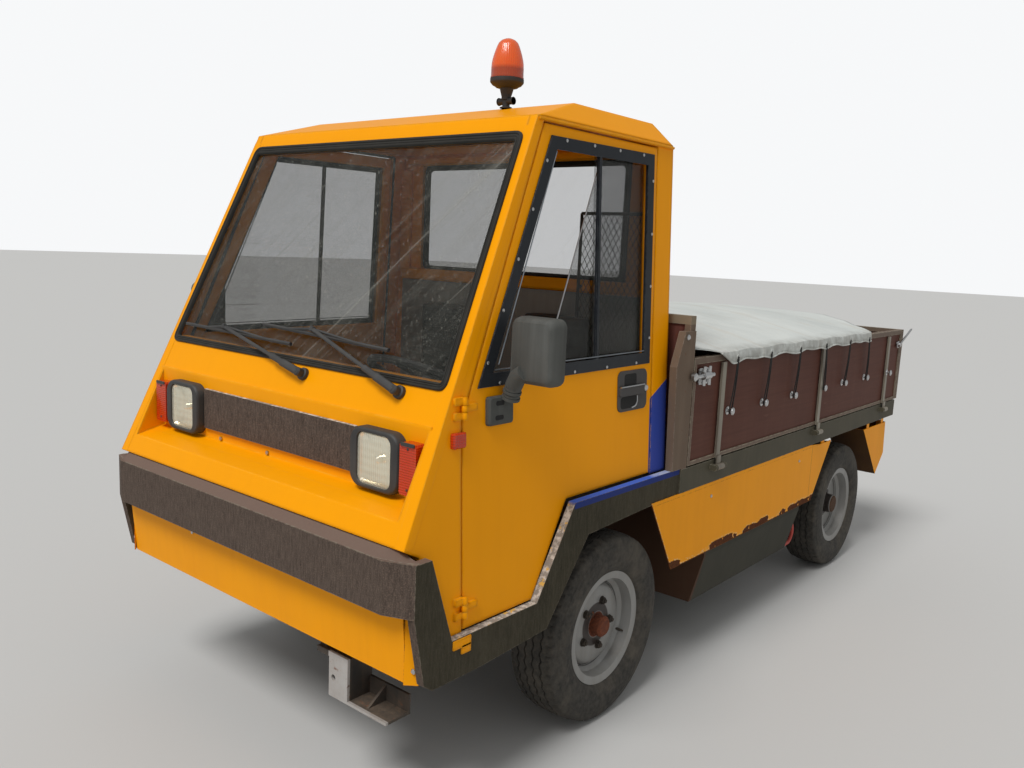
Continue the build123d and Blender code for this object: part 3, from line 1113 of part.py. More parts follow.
def make_beacon():
    x, y = BEACON_X, BEACON_Y
    on_roof = Pos(x, y, CROWN_Z)
    foot = rod_z(BEACON_FOOT_R, x, y, CROWN_Z + SEAT_GAP, CROWN_Z + BEACON_BASE[0][1] + 1.0)
    clamp = rod_x(BEACON_CLAMP_R, x - BEACON_CLAMP_HALF, x + BEACON_CLAMP_HALF, y, CROWN_Z + BEACON_CLAMP_H)
    bowl = on_roof * revolve(Plane.XZ * make_face(Polyline(*BEACON_BASE, close=True)), Axis.Z)
    export("beacon_base", foot + clamp + bowl)
    export("beacon_dome", on_roof * revolve(Plane.XZ * make_face(Polyline(*BEACON_DOME, close=True)), Axis.Z))


def make_tail_lamps():
    y = VALANCE[3][0] + VALANCE_CHAMFER
    x0, z0 = VALANCE_IN + TAIL_LAMP_IN, TAIL_LAMP_Z - TAIL_LAMP_W / 2
    lamp = block(x0, x0 + TAIL_LAMP_W, y + SEAT_GAP, y + TAIL_LAMP_T, z0, z0 + TAIL_LAMP_W)
    lamp = fillet(lamp.edges().filter_by(Axis.Y), 8.0)
    export("tail_lamps", *both(lamp))


os.makedirs("parts", exist_ok=True)
make_chassis()
make_front_axle()
make_steering()
make_wheels()
make_rear_axle()
make_battery()
make_cab()
make_door("left", lambda shape: shape)
make_door("right", mirrored)
make_windows()
make_front_lamps()
make_bumper()
make_skirts()
make_platform()
make_gates()
make_tarp()
make_furniture()
make_wipers()
make_beacon()
make_tail_lamps()
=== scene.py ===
from math import cos, hypot, pi, radians, sin, tau

import bmesh
import bpy
from mathutils import Matrix, Vector, noise


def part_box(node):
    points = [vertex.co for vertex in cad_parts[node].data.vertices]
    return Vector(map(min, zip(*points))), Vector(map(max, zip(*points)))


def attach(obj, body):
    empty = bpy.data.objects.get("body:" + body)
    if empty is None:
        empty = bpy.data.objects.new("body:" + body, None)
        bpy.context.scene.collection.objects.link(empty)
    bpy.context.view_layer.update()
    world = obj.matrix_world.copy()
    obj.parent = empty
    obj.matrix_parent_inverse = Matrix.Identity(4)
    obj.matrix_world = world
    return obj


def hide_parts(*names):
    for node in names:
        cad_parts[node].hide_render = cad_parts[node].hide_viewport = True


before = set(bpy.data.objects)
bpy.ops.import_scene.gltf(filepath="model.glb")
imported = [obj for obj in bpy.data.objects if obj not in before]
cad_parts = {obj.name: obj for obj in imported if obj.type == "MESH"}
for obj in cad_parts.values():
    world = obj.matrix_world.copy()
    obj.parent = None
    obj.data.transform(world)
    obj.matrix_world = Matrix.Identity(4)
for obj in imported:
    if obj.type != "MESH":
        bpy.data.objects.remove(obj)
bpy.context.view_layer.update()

# The truck's own measures, in metres. Places along it are counted from the front axle.
AXLE_Y = -0.9605
WHEELBASE = 2.175
TYRE_R = 0.325
WHEEL_X = 0.641
SIDE_LEAN = 0.05
FRONT_SLOPE = 0.461
NOSE_Y = -0.957
NOSE_Z = 0.827
BED_SIDE_X = 0.763
GATE_TOP_Z = 1.229
SIDES = (("left", 1), ("right", -1))
ENDS = (("front", AXLE_Y), ("rear", AXLE_Y + WHEELBASE))


# Places on the truck
def side_x(z):
    return 0.733 - SIDE_LEAN * (z - 0.6)


def front_y(z):
    return NOSE_Y + FRONT_SLOPE * (z - NOSE_Z)


def place(x, y, z):
    """A point whose y is counted from the front axle, in the row frame."""
    return Vector((x, y + AXLE_Y, z))


def seat_on(origin, across, up):
    """A frame at a point: local X across, Y up, Z out of the surface."""
    across, up = Vector(across).normalized(), Vector(up).normalized()
    out = across.cross(up)
    matrix = Matrix((across, up, out)).transposed().to_4x4()
    matrix.translation = origin
    return matrix


def on_side(y, z, proud=0.0):
    """On the cab's left side, X to the tail."""
    base = seat_on(place(side_x(z), y, z), (0, 1, 0), (-SIDE_LEAN, 0, 1))
    return moved(base, 0, 0, proud)


def on_front(x, z, proud=0.0):
    """On the cab's front plane, X to the truck's left."""
    base = seat_on(place(x, front_y(z), z), (1, 0, 0), (0, FRONT_SLOPE, 1))
    return moved(base, 0, 0, proud)


def side_at(y, z, depth):
    return on_side(y, z, depth).translation


def front_at(x, z, depth):
    return on_front(x, z, depth).translation


def facing_left(x, y, z):
    return seat_on(place(x, y, z), (0, 1, 0), (0, 0, 1))


def facing_front(x, y, z):
    return seat_on(place(x, y, z), (1, 0, 0), (0, 0, 1))


def facing_tail(x, y, z):
    return seat_on(place(x, y, z), (-1, 0, 0), (0, 0, 1))


def mm(*numbers):
    """Pairs of lengths, given in millimetres."""
    return [(a / 1000.0, b / 1000.0) for a, b in zip(numbers[::2], numbers[1::2])]


def moved(seat, x, y, z):
    return seat @ Matrix.Translation((x, y, z))


# Forms
class Form:
    """A shape in the making: rings of points, joined."""

    def __init__(self):
        self.mesh = bmesh.new()

    def ring(self, points):
        return [self.mesh.verts.new(p) for p in points]

    def face(self, ring):
        self.mesh.faces.new(ring)

    def bridge(self, ring_a, ring_b, closed=True):
        count = len(ring_a)
        for i in range(count if closed else count - 1):
            j = (i + 1) % count
            self.face((ring_a[i], ring_a[j], ring_b[j], ring_b[i]))

    def skin(self, loops, start=False, end=False, around=False, closed=True):
        """Join loops of points one after another, with caps at either end where asked for."""
        rings = [self.ring(loop) for loop in loops]
        for a, b in zip(rings, rings[1:] + rings[:around]):
            self.bridge(a, b, closed)
        if start:
            self.face(rings[0][::-1])
        if end:
            self.face(rings[-1])
        return rings

    def stack(self, seat, outline, layers, start=False, end=False):
        """One outline at several (size, height) layers, joined."""
        return self.skin([[seat @ Vector((x * size, y * size, height)) for x, y in outline]
                          for size, height in layers], start, end)

    def turned(self, seat, profile, sides=20, start=True, end=True):
        """A form turned about the seat's Z from (radius, height) pairs."""
        turn = [(cos(tau * i / sides), sin(tau * i / sides)) for i in range(sides)]
        self.skin([[seat @ Vector((radius * x, radius * y, height)) for x, y in turn] for radius,
                   height in profile],
                  start, end)

    def slab(self, seat, outline, low, high, chamfer=0.0):
        """A flat form of an (x, y) outline on a seat, between two heights, its upper edge chamfered."""
        centre = Vector((sum(p[0] for p in outline) / len(outline),
                         sum(p[1] for p in outline) / len(outline)))

        def loop(height, inset=0.0):
            points = []
            for x, y in outline:
                to_middle = centre - Vector((x, y))
                step = to_middle.normalized() * min(inset, to_middle.length * 0.5)
                points.append(seat @ Vector((x + step.x, y + step.y, height)))
            return points
        self.skin([loop(low), loop(high - chamfer)] + [loop(high, chamfer * 1.3)] * bool(chamfer), True, True)

    def brick(self, seat, size, radius):
        """A block with its four upright edges rounded, standing on its seat."""
        width, height, depth = size
        self.slab(seat, rounded(width, height, radius, 3), 0.0, depth, min(0.15 * depth, 0.004))

    def bar(self, path, radius, sides=8, flat=1.0, cap=True):
        """A round or flattened bar along a list of points."""
        loops, side_hint = [], None
        for i, point in enumerate(path):
            ahead = Vector(path[min(i + 1, len(path) - 1)]) - Vector(path[max(i - 1, 0)])
            ahead.normalize()
            if side_hint is None:
                side_hint = ahead.orthogonal().normalized()
            across = (side_hint - ahead * side_hint.dot(ahead)).normalized()
            side_hint = across
            over = ahead.cross(across)
            loops.append([Vector(point) + across * (radius * cos(tau * k / sides))
                          + over * (radius * flat * sin(tau * k / sides)) for k in range(sides)])
        self.skin(loops, cap, cap)

    def rails(self, points, at, radius, sides, around=False):
        """Straight bars from each point to the next one; at gives each its place."""
        for a, b in zip(points, points[1:] + points[:around]):
            self.bar([at(*a), at(*b)], radius, sides)

    def screw(self, seat, radius=0.0045, height=0.003):
        self.turned(seat, [(radius, 0.0), (radius, height * 0.4), (radius * 0.6, height)], 10, start=False)

    def hex(self, seat, radius, height):
        self.turned(seat, [(radius, 0.0), (radius, height * 0.85), (radius * 0.85, height)], 6, start=False)

    def set_on_both_sides(self):
        """Copy everything so far to the truck's right side."""
        mesh = self.mesh
        copy = bmesh.ops.duplicate(mesh, geom=mesh.verts[:] + mesh.edges[:] + mesh.faces[:])["geom"]
        for vert in copy:
            if isinstance(vert, bmesh.types.BMVert):
                vert.co.x = -vert.co.x
        bmesh.ops.reverse_faces(mesh, faces=[g for g in copy if isinstance(g, bmesh.types.BMFace)])

    def done(self, name):
        bmesh.ops.recalc_face_normals(self.mesh, faces=self.mesh.faces[:])
        mesh = bpy.data.meshes.new(name)
        self.mesh.to_mesh(mesh)
        self.mesh.free()
        return mesh

    def show(self, name, material, body="truck", smooth=35.0, bevel=0.0, replaces=(), slot=None, side=1,
             both=False):
        """Turn a shape into a named piece that rides on a body, turned to its side or set on both."""
        if both:
            self.set_on_both_sides()
        if side < 0:
            for vert in self.mesh.verts:
                vert.co.x = -vert.co.x
        piece = bpy.data.objects.new(name, self.done(name))
        bpy.context.scene.collection.objects.link(piece)
        piece.data.materials.append(material)
        if bevel:
            soft = piece.modifiers.new("soft_edges", "BEVEL")
            soft.width = bevel
            soft.segments = 2
            soft.limit_method = "ANGLE"
        piece.data.shade_smooth()
        piece.data.set_sharp_from_angle(angle=radians(smooth))
        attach(piece, body)
        if replaces:
            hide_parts(*replaces)
        return piece


def rounded(width, height, radius, steps=4, centre=(0.0, 0.0)):
    """The outline of a rectangle with round corners."""
    points = []
    for cx, cy, start in ((1, 1, 0), (-1, 1, 90), (-1, -1, 180), (1, -1, 270)):
        for i in range(steps + 1):
            angle = radians(start + 90.0 * i / steps)
            points.append((centre[0] + cx * (width / 2 - radius) + radius * cos(angle),
                           centre[1] + cy * (height / 2 - radius) + radius * sin(angle)))
    return points


# Finishes
def tone(red, green, blue):
    """A colour given as it looks, 0 to 255, as linear light."""
    def linear(v):
        v /= 255.0
        return v / 12.92 if v <= 0.04045 else ((v + 0.055) / 1.055) ** 2.4
    return (linear(red), linear(green), linear(blue), 1.0)


class Effect:
    """A shader node group with named inputs and outputs."""

    def __init__(self, name, inputs, outputs):
        self.tree = bpy.data.node_groups.new(name, "ShaderNodeTree")
        for label, value in inputs.items():
            kind = "Color" if isinstance(value, tuple) else "Float"
            socket = self.tree.interface.new_socket(label, in_out="INPUT", socket_type="NodeSocket" + kind)
            socket.default_value = value
        for label, kind in outputs.items():
            self.tree.interface.new_socket(label, in_out="OUTPUT", socket_type="NodeSocket" + kind)
        self.start = self.tree.nodes.new("NodeGroupInput")
        self.end = self.tree.nodes.new("NodeGroupOutput")

    def given(self, label):
        return self.start.outputs[label]

    def gives(self, label, source):
        self.tree.links.new(source, self.end.inputs[label])


def feed(socket, value):
    """Link a socket to another one, or give it a constant."""
    if isinstance(value, bpy.types.NodeSocket):
        socket.id_data.links.new(value, socket)
    else:
        socket.default_value = tone(*value) if socket.type == "RGBA" and len(value) == 3 else value


def put(tree, kind, inputs=None, **settings):
    """Add a node, set it up and feed its inputs from sockets or values."""
    node = tree.nodes.new("ShaderNode" + kind)
    for key, value in settings.items():
        setattr(node, key, value)
    for key, value in (inputs or {}).items():
        feed(node.inputs[key], value)
    return node


def tree_of(*values):
    """The node tree of the first socket among some values."""
    return next(value.id_data for value in values if isinstance(value, bpy.types.NodeSocket))


def maths(operation):
    def result(a, b=0.0, clamp=False):
        return put(tree_of(a, b), "Math", {0: a, 1: b}, operation=operation, use_clamp=clamp).outputs[0]
    return result


plus, minus, times, power = maths("ADD"), maths("SUBTRACT"), maths("MULTIPLY"), maths("POWER")
higher_of, lower_of, size_of, root_of = maths("MAXIMUM"), maths("MINIMUM"), maths("ABSOLUTE"), maths("SQRT")
sine_of, angle_of = maths("SINE"), maths("ARCTAN2")


def ramp(source, low, high, out_low=0.0, out_high=1.0):
    return put(source.id_data, "MapRange", {"Value": source, "From Min": low, "From Max": high,
                                            "To Min": out_low,
                                            "To Max": out_high}).outputs["Result"]


def mixed(factor, a, b):
    node = put(tree_of(factor, a, b), "Mix", data_type="RGBA")
    for i, value in ((0, factor), (6, a), (7, b)):
        feed(node.inputs[i], value)
    return node.outputs[2]


def own_place(tree):
    """Where a point is on its own piece, in metres."""
    return put(tree, "TexCoord").outputs["Object"]


def speckle(where, scale, detail=4.0, rough=0.55, distortion=0.0):
    return put(where.id_data, "TexNoise", {"Vector": where, "Scale": scale, "Detail": detail,
                                           "Roughness": rough,
                                           "Distortion": distortion}).outputs["Fac"]


def stretched(where, scale):
    return put(where.id_data, "Mapping", {"Vector": where, "Scale": scale}).outputs["Vector"]


def make_worn_edges():
    """1 along outer edges, 0 elsewhere, broken up by grain."""
    effect = Effect("worn_edges", {"Width": 0.004, "Scale": 30.0}, {"Mask": "Float"})
    tree = effect.tree
    bevel = put(tree, "Bevel", {"Radius": effect.given("Width")}, samples=4)
    flat = put(tree, "NewGeometry").outputs["Normal"]
    turn = put(tree, "VectorMath", {0: bevel.outputs[0], 1: flat}, operation="DOT_PRODUCT").outputs["Value"]
    edge = ramp(turn, 0.995, 0.9)
    grain = speckle(own_place(tree), effect.given("Scale"), 5.0, 0.7)
    effect.gives("Mask", times(edge, ramp(grain, 0.42, 0.58), True))
    return effect.tree


def make_road_dust():
    """Dust that gathers low down, on upward faces and in faint runs."""
    effect = Effect("road_dust", {"Colour": (0.5, 0.5, 0.5, 1.0), "Dust": tone(150, 138, 120), "Amount": 0.3,
                                  "Low": 0.35, "High": 1.1}, {"Colour": "Color", "Cover": "Float"})
    tree = effect.tree
    where = own_place(tree)
    blotch = speckle(where, 9.0, 6.0, 0.6)
    fine = speckle(where, 160.0, 3.0, 0.6)
    runs = speckle(stretched(where, (46.0, 46.0, 2.4)), 1.0, 3.0, 0.5)
    height = put(tree, "SeparateXYZ", {0: where}).outputs[2]
    low = ramp(height, effect.given("High"), effect.given("Low"))
    up = put(tree, "SeparateXYZ", {0: put(tree, "NewGeometry").outputs["Normal"]}).outputs[2]
    flat_top = ramp(up, 0.3, 1.0)
    gathered = plus(times(low, 0.7), times(flat_top, 0.5))
    gathered = plus(gathered, 0.25)
    pattern = times(ramp(blotch, 0.3, 0.7), ramp(fine, 0.25, 0.75, 0.5, 1.0))
    pattern = plus(pattern, times(ramp(runs, 0.5, 0.75), 0.35))
    cover = times(times(gathered, pattern), effect.given("Amount"), True)
    effect.gives("Colour", mixed(cover, effect.given("Colour"), effect.given("Dust")))
    effect.gives("Cover", cover)
    return effect.tree


def make_rust():
    """Patches of rust: a mask, their colour and their grain's height."""
    effect = Effect("rust_patches", {"Amount": 0.5, "Scale": 14.0},
                    {"Mask": "Float", "Colour": "Color", "Height": "Float"})
    tree = effect.tree
    where = own_place(tree)
    blot = speckle(where, effect.given("Scale"), 8.0, 0.68, 0.4)
    edge = minus(0.86, times(effect.given("Amount"), 0.56))
    mask = ramp(blot, edge, plus(edge, 0.06))
    grain = speckle(where, 110.0, 6.0, 0.7)
    colour = mixed(ramp(grain, 0.35, 0.65), tone(74, 42, 30), tone(142, 78, 44))
    effect.gives("Mask", mask)
    effect.gives("Colour", colour)
    effect.gives("Height", grain)
    return effect.tree


def make_weather():
    """Slow changes of shade and small scratches, for painted sheet."""
    effect = Effect("faded_paint", {"Colour": (0.5, 0.5, 0.5, 1.0), "Faded": (0.6, 0.6, 0.6, 1.0),
                                    "Amount": 0.5},
                    {"Colour": "Color", "Height": "Float"})
    tree = effect.tree
    where = own_place(tree)
    wide = speckle(where, 2.3, 4.0, 0.55)
    runs = speckle(stretched(where, (26.0, 26.0, 1.4)), 1.0, 4.0, 0.6)
    fade = plus(times(ramp(wide, 0.3, 0.7), 0.65), times(ramp(runs, 0.45, 0.75), 0.5))
    fade = times(fade, effect.given("Amount"), True)
    effect.gives("Colour", mixed(fade, effect.given("Colour"), effect.given("Faded")))
    effect.gives("Height", speckle(where, 380.0, 2.0, 0.5))
    return effect.tree


def make_orange_peel():
    """Fine grain, over edges that look rounded by a radius."""
    effect = Effect("fine_grain", {"Scale": 300.0, "Strength": 0.1, "Depth": 0.001, "Round": 0.0},
                    {"Normal": "Vector", "Grain": "Float"})
    tree = effect.tree
    grain = speckle(own_place(tree), effect.given("Scale"), 3.0, 0.6)
    soft = put(tree, "Bevel", {"Radius": effect.given("Round")}, samples=6)
    bump = put(tree, "Bump", {"Strength": effect.given("Strength"), "Distance": effect.given("Depth"),
                              "Height": grain, "Normal": soft.outputs[0]})
    effect.gives("Normal", bump.outputs[0])
    effect.gives("Grain", grain)
    return effect.tree


worn_edges = make_worn_edges()
road_dust = make_road_dust()
rust_patches = make_rust()
faded_paint = make_weather()
fine_grain = make_orange_peel()


class Finish:
    """A material with its Principled shader, built up layer by layer."""

    def __init__(self, name, colour, roughness=0.5, metallic=0.0):
        self.material = bpy.data.materials.new(name)
        self.material.use_nodes = True
        self.tree = self.material.node_tree
        self.shader = self.tree.nodes["Principled BSDF"]
        self.shader.inputs["Metallic"].default_value = metallic
        self.shader.inputs["Roughness"].default_value = roughness
        self.colour = colour
        self.roughness = roughness
        feed(self.shader.inputs["Base Color"], colour)

    def group(self, effect, **inputs):
        node = put(self.tree, "Group")
        node.node_tree = effect
        for label, value in inputs.items():
            feed(node.inputs[label.replace("_", " ")], value)
        return node

    def faded(self, colour, amount):
        self.colour = self.group(faded_paint, Colour=self.colour, Faded=colour,
                                 Amount=amount).outputs["Colour"]
        return self

    def dusty(self, amount, dust=(150, 138, 120), low=0.3, high=1.1):
        node = self.group(road_dust, Colour=self.colour, Dust=dust, Amount=amount, Low=low, High=high)
        self.colour = node.outputs["Colour"]
        return self.mat_where(node.outputs["Cover"], 0.85)

    def painted_where(self, mask, colour):
        self.colour = mixed(mask, self.colour, colour)
        return self

    def mat_where(self, mask, roughness):
        node = put(self.tree, "Mix", {0: mask, 2: self.roughness, 3: roughness}, data_type="FLOAT")
        self.roughness = node.outputs[0]
        return self

    def rusty(self, amount, scale=14.0, where=None):
        node = self.group(rust_patches, Amount=amount, Scale=scale)
        mask = node.outputs["Mask"]
        if where is not None:
            mask = times(mask, where, True)
        return self.painted_where(mask, node.outputs["Colour"]).mat_where(mask, 0.9)

    def worn(self, colour, width=0.004, scale=30.0, roughness=0.6):
        mask = self.group(worn_edges, Width=width, Scale=scale).outputs["Mask"]
        return self.painted_where(mask, colour).mat_where(mask, roughness)

    def grained(self, scale=300.0, strength=0.1, depth=0.001, round_edges=0.0):
        node = self.group(fine_grain, Scale=scale, Strength=strength, Depth=depth, Round=round_edges)
        self.tree.links.new(node.outputs["Normal"], self.shader.inputs["Normal"])
        return self

    def bumped(self, height, strength, depth):
        bump = put(self.tree, "Bump", {"Strength": strength, "Distance": depth, "Height": height})
        self.tree.links.new(bump.outputs[0], self.shader.inputs["Normal"])
        return self

    def set(self, **values):
        for label, value in values.items():
            self.shader.inputs[label.replace("_", " ")].default_value = value
        return self

    def xyz(self):
        """Where a point is on its own piece, in the row frame."""
        return put(self.tree, "SeparateXYZ", {0: own_place(self.tree)}).outputs[:]

    def facing(self):
        """Which way the surface looks."""
        return put(self.tree, "SeparateXYZ", {0: put(self.tree, "NewGeometry").outputs["Normal"]}).outputs

    def done(self, shine=None):
        if shine is not None:
            self.set(Specular_IOR_Level=shine)
        feed(self.shader.inputs["Base Color"], self.colour)
        feed(self.shader.inputs["Roughness"], self.roughness)
        return self.material


def along(y, low, high, out_low=0.0, out_high=1.0):
    """A ramp between two places counted from the front axle."""
    return ramp(y, low + AXLE_Y, high + AXLE_Y, out_low, out_high)


def between(value, low, high, soft=0.002):
    return times(ramp(value, low - soft, low + soft), ramp(value, high + soft, high - soft), True)


YELLOW, YELLOW_FADED, BLUE = (250, 162, 2), (240, 152, 5), (56, 76, 162)


def make_cab_yellow():
    finish = Finish("cab_yellow", YELLOW, 0.36).faded(YELLOW_FADED, 0.3)
    x, y, z = finish.xyz()
    # The blue patch behind the door, under a slanted line
    rise = plus(times(minus(y, 0.205 + AXLE_Y), 0.55), 1.097)
    under, behind = ramp(minus(rise, z), -0.0015, 0.0015), along(y, 0.2, 0.203)
    finish.painted_where(times(times(under, behind), ramp(size_of(x), 0.69, 0.7), True), BLUE)
    finish.dusty(0.06, (176, 124, 40), 0.5, 1.3).worn((252, 186, 60), 0.0035, 30.0, 0.5)
    return finish.grained(240.0, 0.05, 0.0006, 0.014).done(0.08)


def make_skirt_yellow():
    """Yellow sheet whose lower edge is eaten by rust in scallops, with bright chips round them."""
    finish = Finish("skirt_yellow", YELLOW, 0.42).faded(YELLOW_FADED, 0.6)
    x, y, z = finish.xyz()
    where = own_place(finish.tree)
    on_skirt = between(y, 0.15 + AXLE_Y, 1.9 + AXLE_Y)
    slant = plus(times(minus(0.724, z), 0.612), 0.178 + AXLE_Y)
    from_low = minus(z, 0.456)
    from_edge = lower_of(from_low, times(minus(y, slant), 1.6))
    frayed = times(minus(speckle(where, 110.0, 3.0, 0.6), 0.5), 0.012)
    flat = put(finish.tree, "CombineXYZ", {0: y, 1: plus(z, frayed)}).outputs[0]
    dots = put(finish.tree, "TexVoronoi", {"Vector": flat, "Scale": 30.0,
                                           "Randomness": 0.8}).outputs["Distance"]
    spread = speckle(put(finish.tree, "CombineXYZ", {0: y, 1: times(x, 0.2)}).outputs[0], 5.5, 2.0, 0.5)
    bites = times(minus(ramp(spread, 0.38, 0.54, 0.1, 0.9), dots), 0.03)
    depth = plus(ramp(spread, 0.38, 0.56, 0.003, 0.03), frayed)
    thin = minus(plus(0.0045, times(frayed, 0.6)), from_edge)
    reach = higher_of(lower_of(bites, minus(depth, from_low)), thin)
    rusted = times(ramp(reach, 0.0, 0.0015), on_skirt, True)
    chips = times(ramp(reach, -0.006, -0.002), ramp(reach, 0.003, 0.0))
    chips = times(chips, ramp(speckle(where, 170.0, 3.0, 0.6), 0.52, 0.58))
    finish.painted_where(times(chips, on_skirt, True), (232, 206, 160))
    rust = finish.group(rust_patches, Amount=1.0, Scale=22.0)
    finish.painted_where(rusted, mixed(0.62, rust.outputs["Colour"], (54, 34, 30))).mat_where(rusted, 0.92)
    seam = between(y, 1.637 + AXLE_Y, 1.639 + AXLE_Y, 0.0006)
    finish.painted_where(times(seam, ramp(z, 0.46, 0.47), True), (120, 70, 16))
    # The mudguard's forward-facing inner face behind the rear wheel is painted dark brown: partly the sheet's own
    # brown, partly painted shade
    normal = finish.facing()
    brown_and_shade_face = times(ramp(normal[1], -0.3, -0.6), along(y, 2.2, 2.3))
    finish.painted_where(times(brown_and_shade_face, ramp(size_of(normal[0]), 0.9, 0.5), True), (74, 50, 30))
    finish.dusty(0.08, (180, 136, 60), 0.4, 0.9).worn((160, 96, 44), 0.003, 45.0)
    return finish.grained(240.0, 0.06, 0.0006).done(0.08)


def make_band():
    """The bumper and sill bands: black gone olive-grey, blue and scuffed on the ledges."""
    finish = Finish("band_black", (50, 47, 36), 0.85).faded((70, 65, 52), 0.8)
    _, y, z = finish.xyz()
    where = own_place(finish.tree)
    streaks = speckle(stretched(where, (150.0, 150.0, 26.0)), 1.0, 4.0, 0.7)
    finish.painted_where(ramp(streaks, 0.35, 0.7, 0.0, 0.5), (84, 78, 66))
    finish.painted_where(ramp(speckle(where, 420.0, 2.0, 0.6), 0.58, 0.78, 0.0, 0.25), (140, 130, 116))
    normal = finish.facing()
    # The beam across the front has gone brown
    grime = mixed(ramp(streaks, 0.3, 0.7), (62, 52, 48), (98, 84, 76))
    grime = mixed(ramp(speckle(where, 300.0, 2.0, 0.6), 0.5, 0.72, 0.0, 0.6), grime, (134, 112, 98))
    finish.painted_where(times(ramp(normal[1], -0.6, -0.8), 0.85), grime)
    # Behind the door's front the ledge is one blue paint, rubbed pale on top; its lighter blue on the top is painted
    # light, the darker blue on its outer side's upper strip painted shade
    top, back = ramp(normal[2], 0.35, 0.55), along(y, -0.285, -0.279)
    rubbed = ramp(speckle(stretched(where, (8.0, 3.0, 8.0)), 1.0, 5.0, 0.6), 0.52, 0.62, 0.0, 0.7)
    finish.painted_where(times(top, back, True), mixed(rubbed, (66, 104, 206), (200, 204, 206)))
    shaded_blue_strip = times(times(ramp(z, 0.808, 0.81), back), ramp(size_of(normal[0]), 0.7, 0.8), True)
    finish.painted_where(shaded_blue_strip, (44, 58, 120))
    ledge = times(times(top, along(y, -0.279, -0.285)), along(y, -0.86, -0.84), True)
    flecks = mixed(ramp(speckle(where, 60.0, 6.0, 0.7), 0.46, 0.6), (148, 142, 134), (218, 212, 202))
    flecks = mixed(ramp(speckle(where, 26.0, 6.0, 0.6), 0.6, 0.63), flecks, (226, 184, 96))
    finish.painted_where(times(ledge, 0.92), flecks)
    finish.painted_where(times(times(top, along(y, -0.86, -0.88), True), 0.75), (124, 102, 92))
    finish.dusty(0.08, (140, 130, 112), 0.4, 0.9).worn((130, 120, 106), 0.004, 80.0, 0.8)
    return finish.grained(520.0, 0.35, 0.0012).done(0.12)


def make_gate_steel():
    """Gate frames: a rust-brown rim with pale worn edges, and bare grey straps over it."""
    finish = Finish("gate_steel", (98, 80, 66), 0.65).faded((116, 98, 82), 0.8)
    x, y, _ = finish.xyz()
    finish.worn((168, 160, 138), 0.006, 30.0, 0.6)
    strap = higher_of(ramp(size_of(x), 0.7633, 0.7637), along(y, 2.8782, 2.8786))
    grey = finish.group(faded_paint, Colour=(150, 143, 128), Faded=(106, 98, 88), Amount=0.9)
    finish.painted_where(strap, grey.outputs["Colour"]).mat_where(strap, 0.42)
    finish.rusty(0.3, 34.0).dusty(0.15, (138, 124, 106), 0.5, 1.5)
    feed(finish.shader.inputs["Metallic"], times(strap, 0.35))
    return finish.grained(260.0, 0.2, 0.001).done()


def make_headboard_steel():
    """Brown, pitted posts and board, with an olive rim along the top."""
    finish = Finish("headboard_steel", (100, 84, 70), 0.8).faded((122, 104, 88), 0.8)
    x, _, z = finish.xyz()
    post = ramp(size_of(x), 0.7335, 0.7355)
    board = speckle(stretched(own_place(finish.tree), (30.0, 30.0, 2.0)), 1.0, 4.0, 0.6)
    finish.painted_where(minus(1.0, post, True), mixed(ramp(board, 0.4, 0.7), (82, 44, 38), (112, 68, 58)))
    finish.rusty(0.4, 60.0).painted_where(ramp(z, 1.3495, 1.3505), (132, 118, 98))
    return finish.worn((150, 140, 126), 0.003, 60.0, 0.5).grained(300.0, 0.25, 0.001).done(0.3)


def make_board():
    """Red-brown faced ply, scuffed and faded."""
    finish = Finish("faced_ply", (92, 56, 46), 0.55).faded((108, 72, 60), 0.4)
    where = own_place(finish.tree)
    fibres = speckle(stretched(where, (8.0, 3.0, 90.0)), 1.0, 6.0, 0.65)
    scuffs = speckle(stretched(where, (14.0, 5.0, 22.0)), 1.0, 8.0, 0.7, 0.6)
    finish.painted_where(ramp(fibres, 0.4, 0.75, 0.0, 0.35), (66, 36, 32))
    finish.painted_where(ramp(scuffs, 0.62, 0.74, 0.0, 0.35), (140, 100, 86))
    return finish.dusty(0.06, (140, 112, 94), 0.7, 1.4).bumped(fibres, 0.12, 0.001).done(0.1)


def make_chassis():
    finish = Finish("chassis_paint", (40, 38, 36), 0.7)
    x, y, z = finish.xyz()
    plate = times(along(y, -0.882, -0.884), times(ramp(x, 0.35, 0.354), ramp(z, 0.432, 0.428)), True)
    finish.painted_where(plate, (176, 172, 168)).rusty(0.45, 18.0).dusty(0.55, (118, 100, 82), 0.2, 0.8)
    return finish.grained(200.0, 0.25, 0.001).done()


def make_wheel_grey():
    """Grey wheel paint, with a rusty hub in the middle and a dark drum behind."""
    finish = Finish("wheel_grey", (150, 150, 148), 0.42, 0.15).faded((128, 126, 122), 0.8)
    x, y, z = finish.xyz()
    far_x, up = size_of(x), minus(z, TYRE_R)

    def radius_about(wheel_y):
        along_y = minus(y, wheel_y)
        return root_of(plus(times(along_y, along_y), times(up, up)))
    radius = lower_of(radius_about(AXLE_Y), radius_about(AXLE_Y + WHEELBASE))
    finish.dusty(0.28, (140, 130, 116), 0.0, 0.7).rusty(0.3, 30.0)
    finish.painted_where(between(radius, 0.1485, 0.1505, 0.001), (30, 30, 30))
    hub = ramp(radius, 0.0455, 0.0435)
    rust = finish.group(rust_patches, Amount=1.0, Scale=30.0)
    at_rear = ramp(y, 0.4, 0.5)
    hub_tone = mixed(at_rear, (104, 54, 36), (66, 52, 36))
    finish.painted_where(hub, mixed(ramp(at_rear, 0.0, 1.0, 0.5, 0.8), rust.outputs["Colour"], hub_tone))
    nuts = times(between(radius, 0.046, 0.076), ramp(far_x, WHEEL_X + 0.0125, WHEEL_X + 0.0135), True)
    finish.mat_where(hub, 0.92).painted_where(nuts, (52, 44, 40))
    drum = times(ramp(far_x, WHEEL_X + 0.003, WHEEL_X + 0.001), ramp(radius, 0.13, 0.128), True)
    return finish.painted_where(drum, (46, 38, 34)).grained(200.0, 0.15, 0.0008).done()


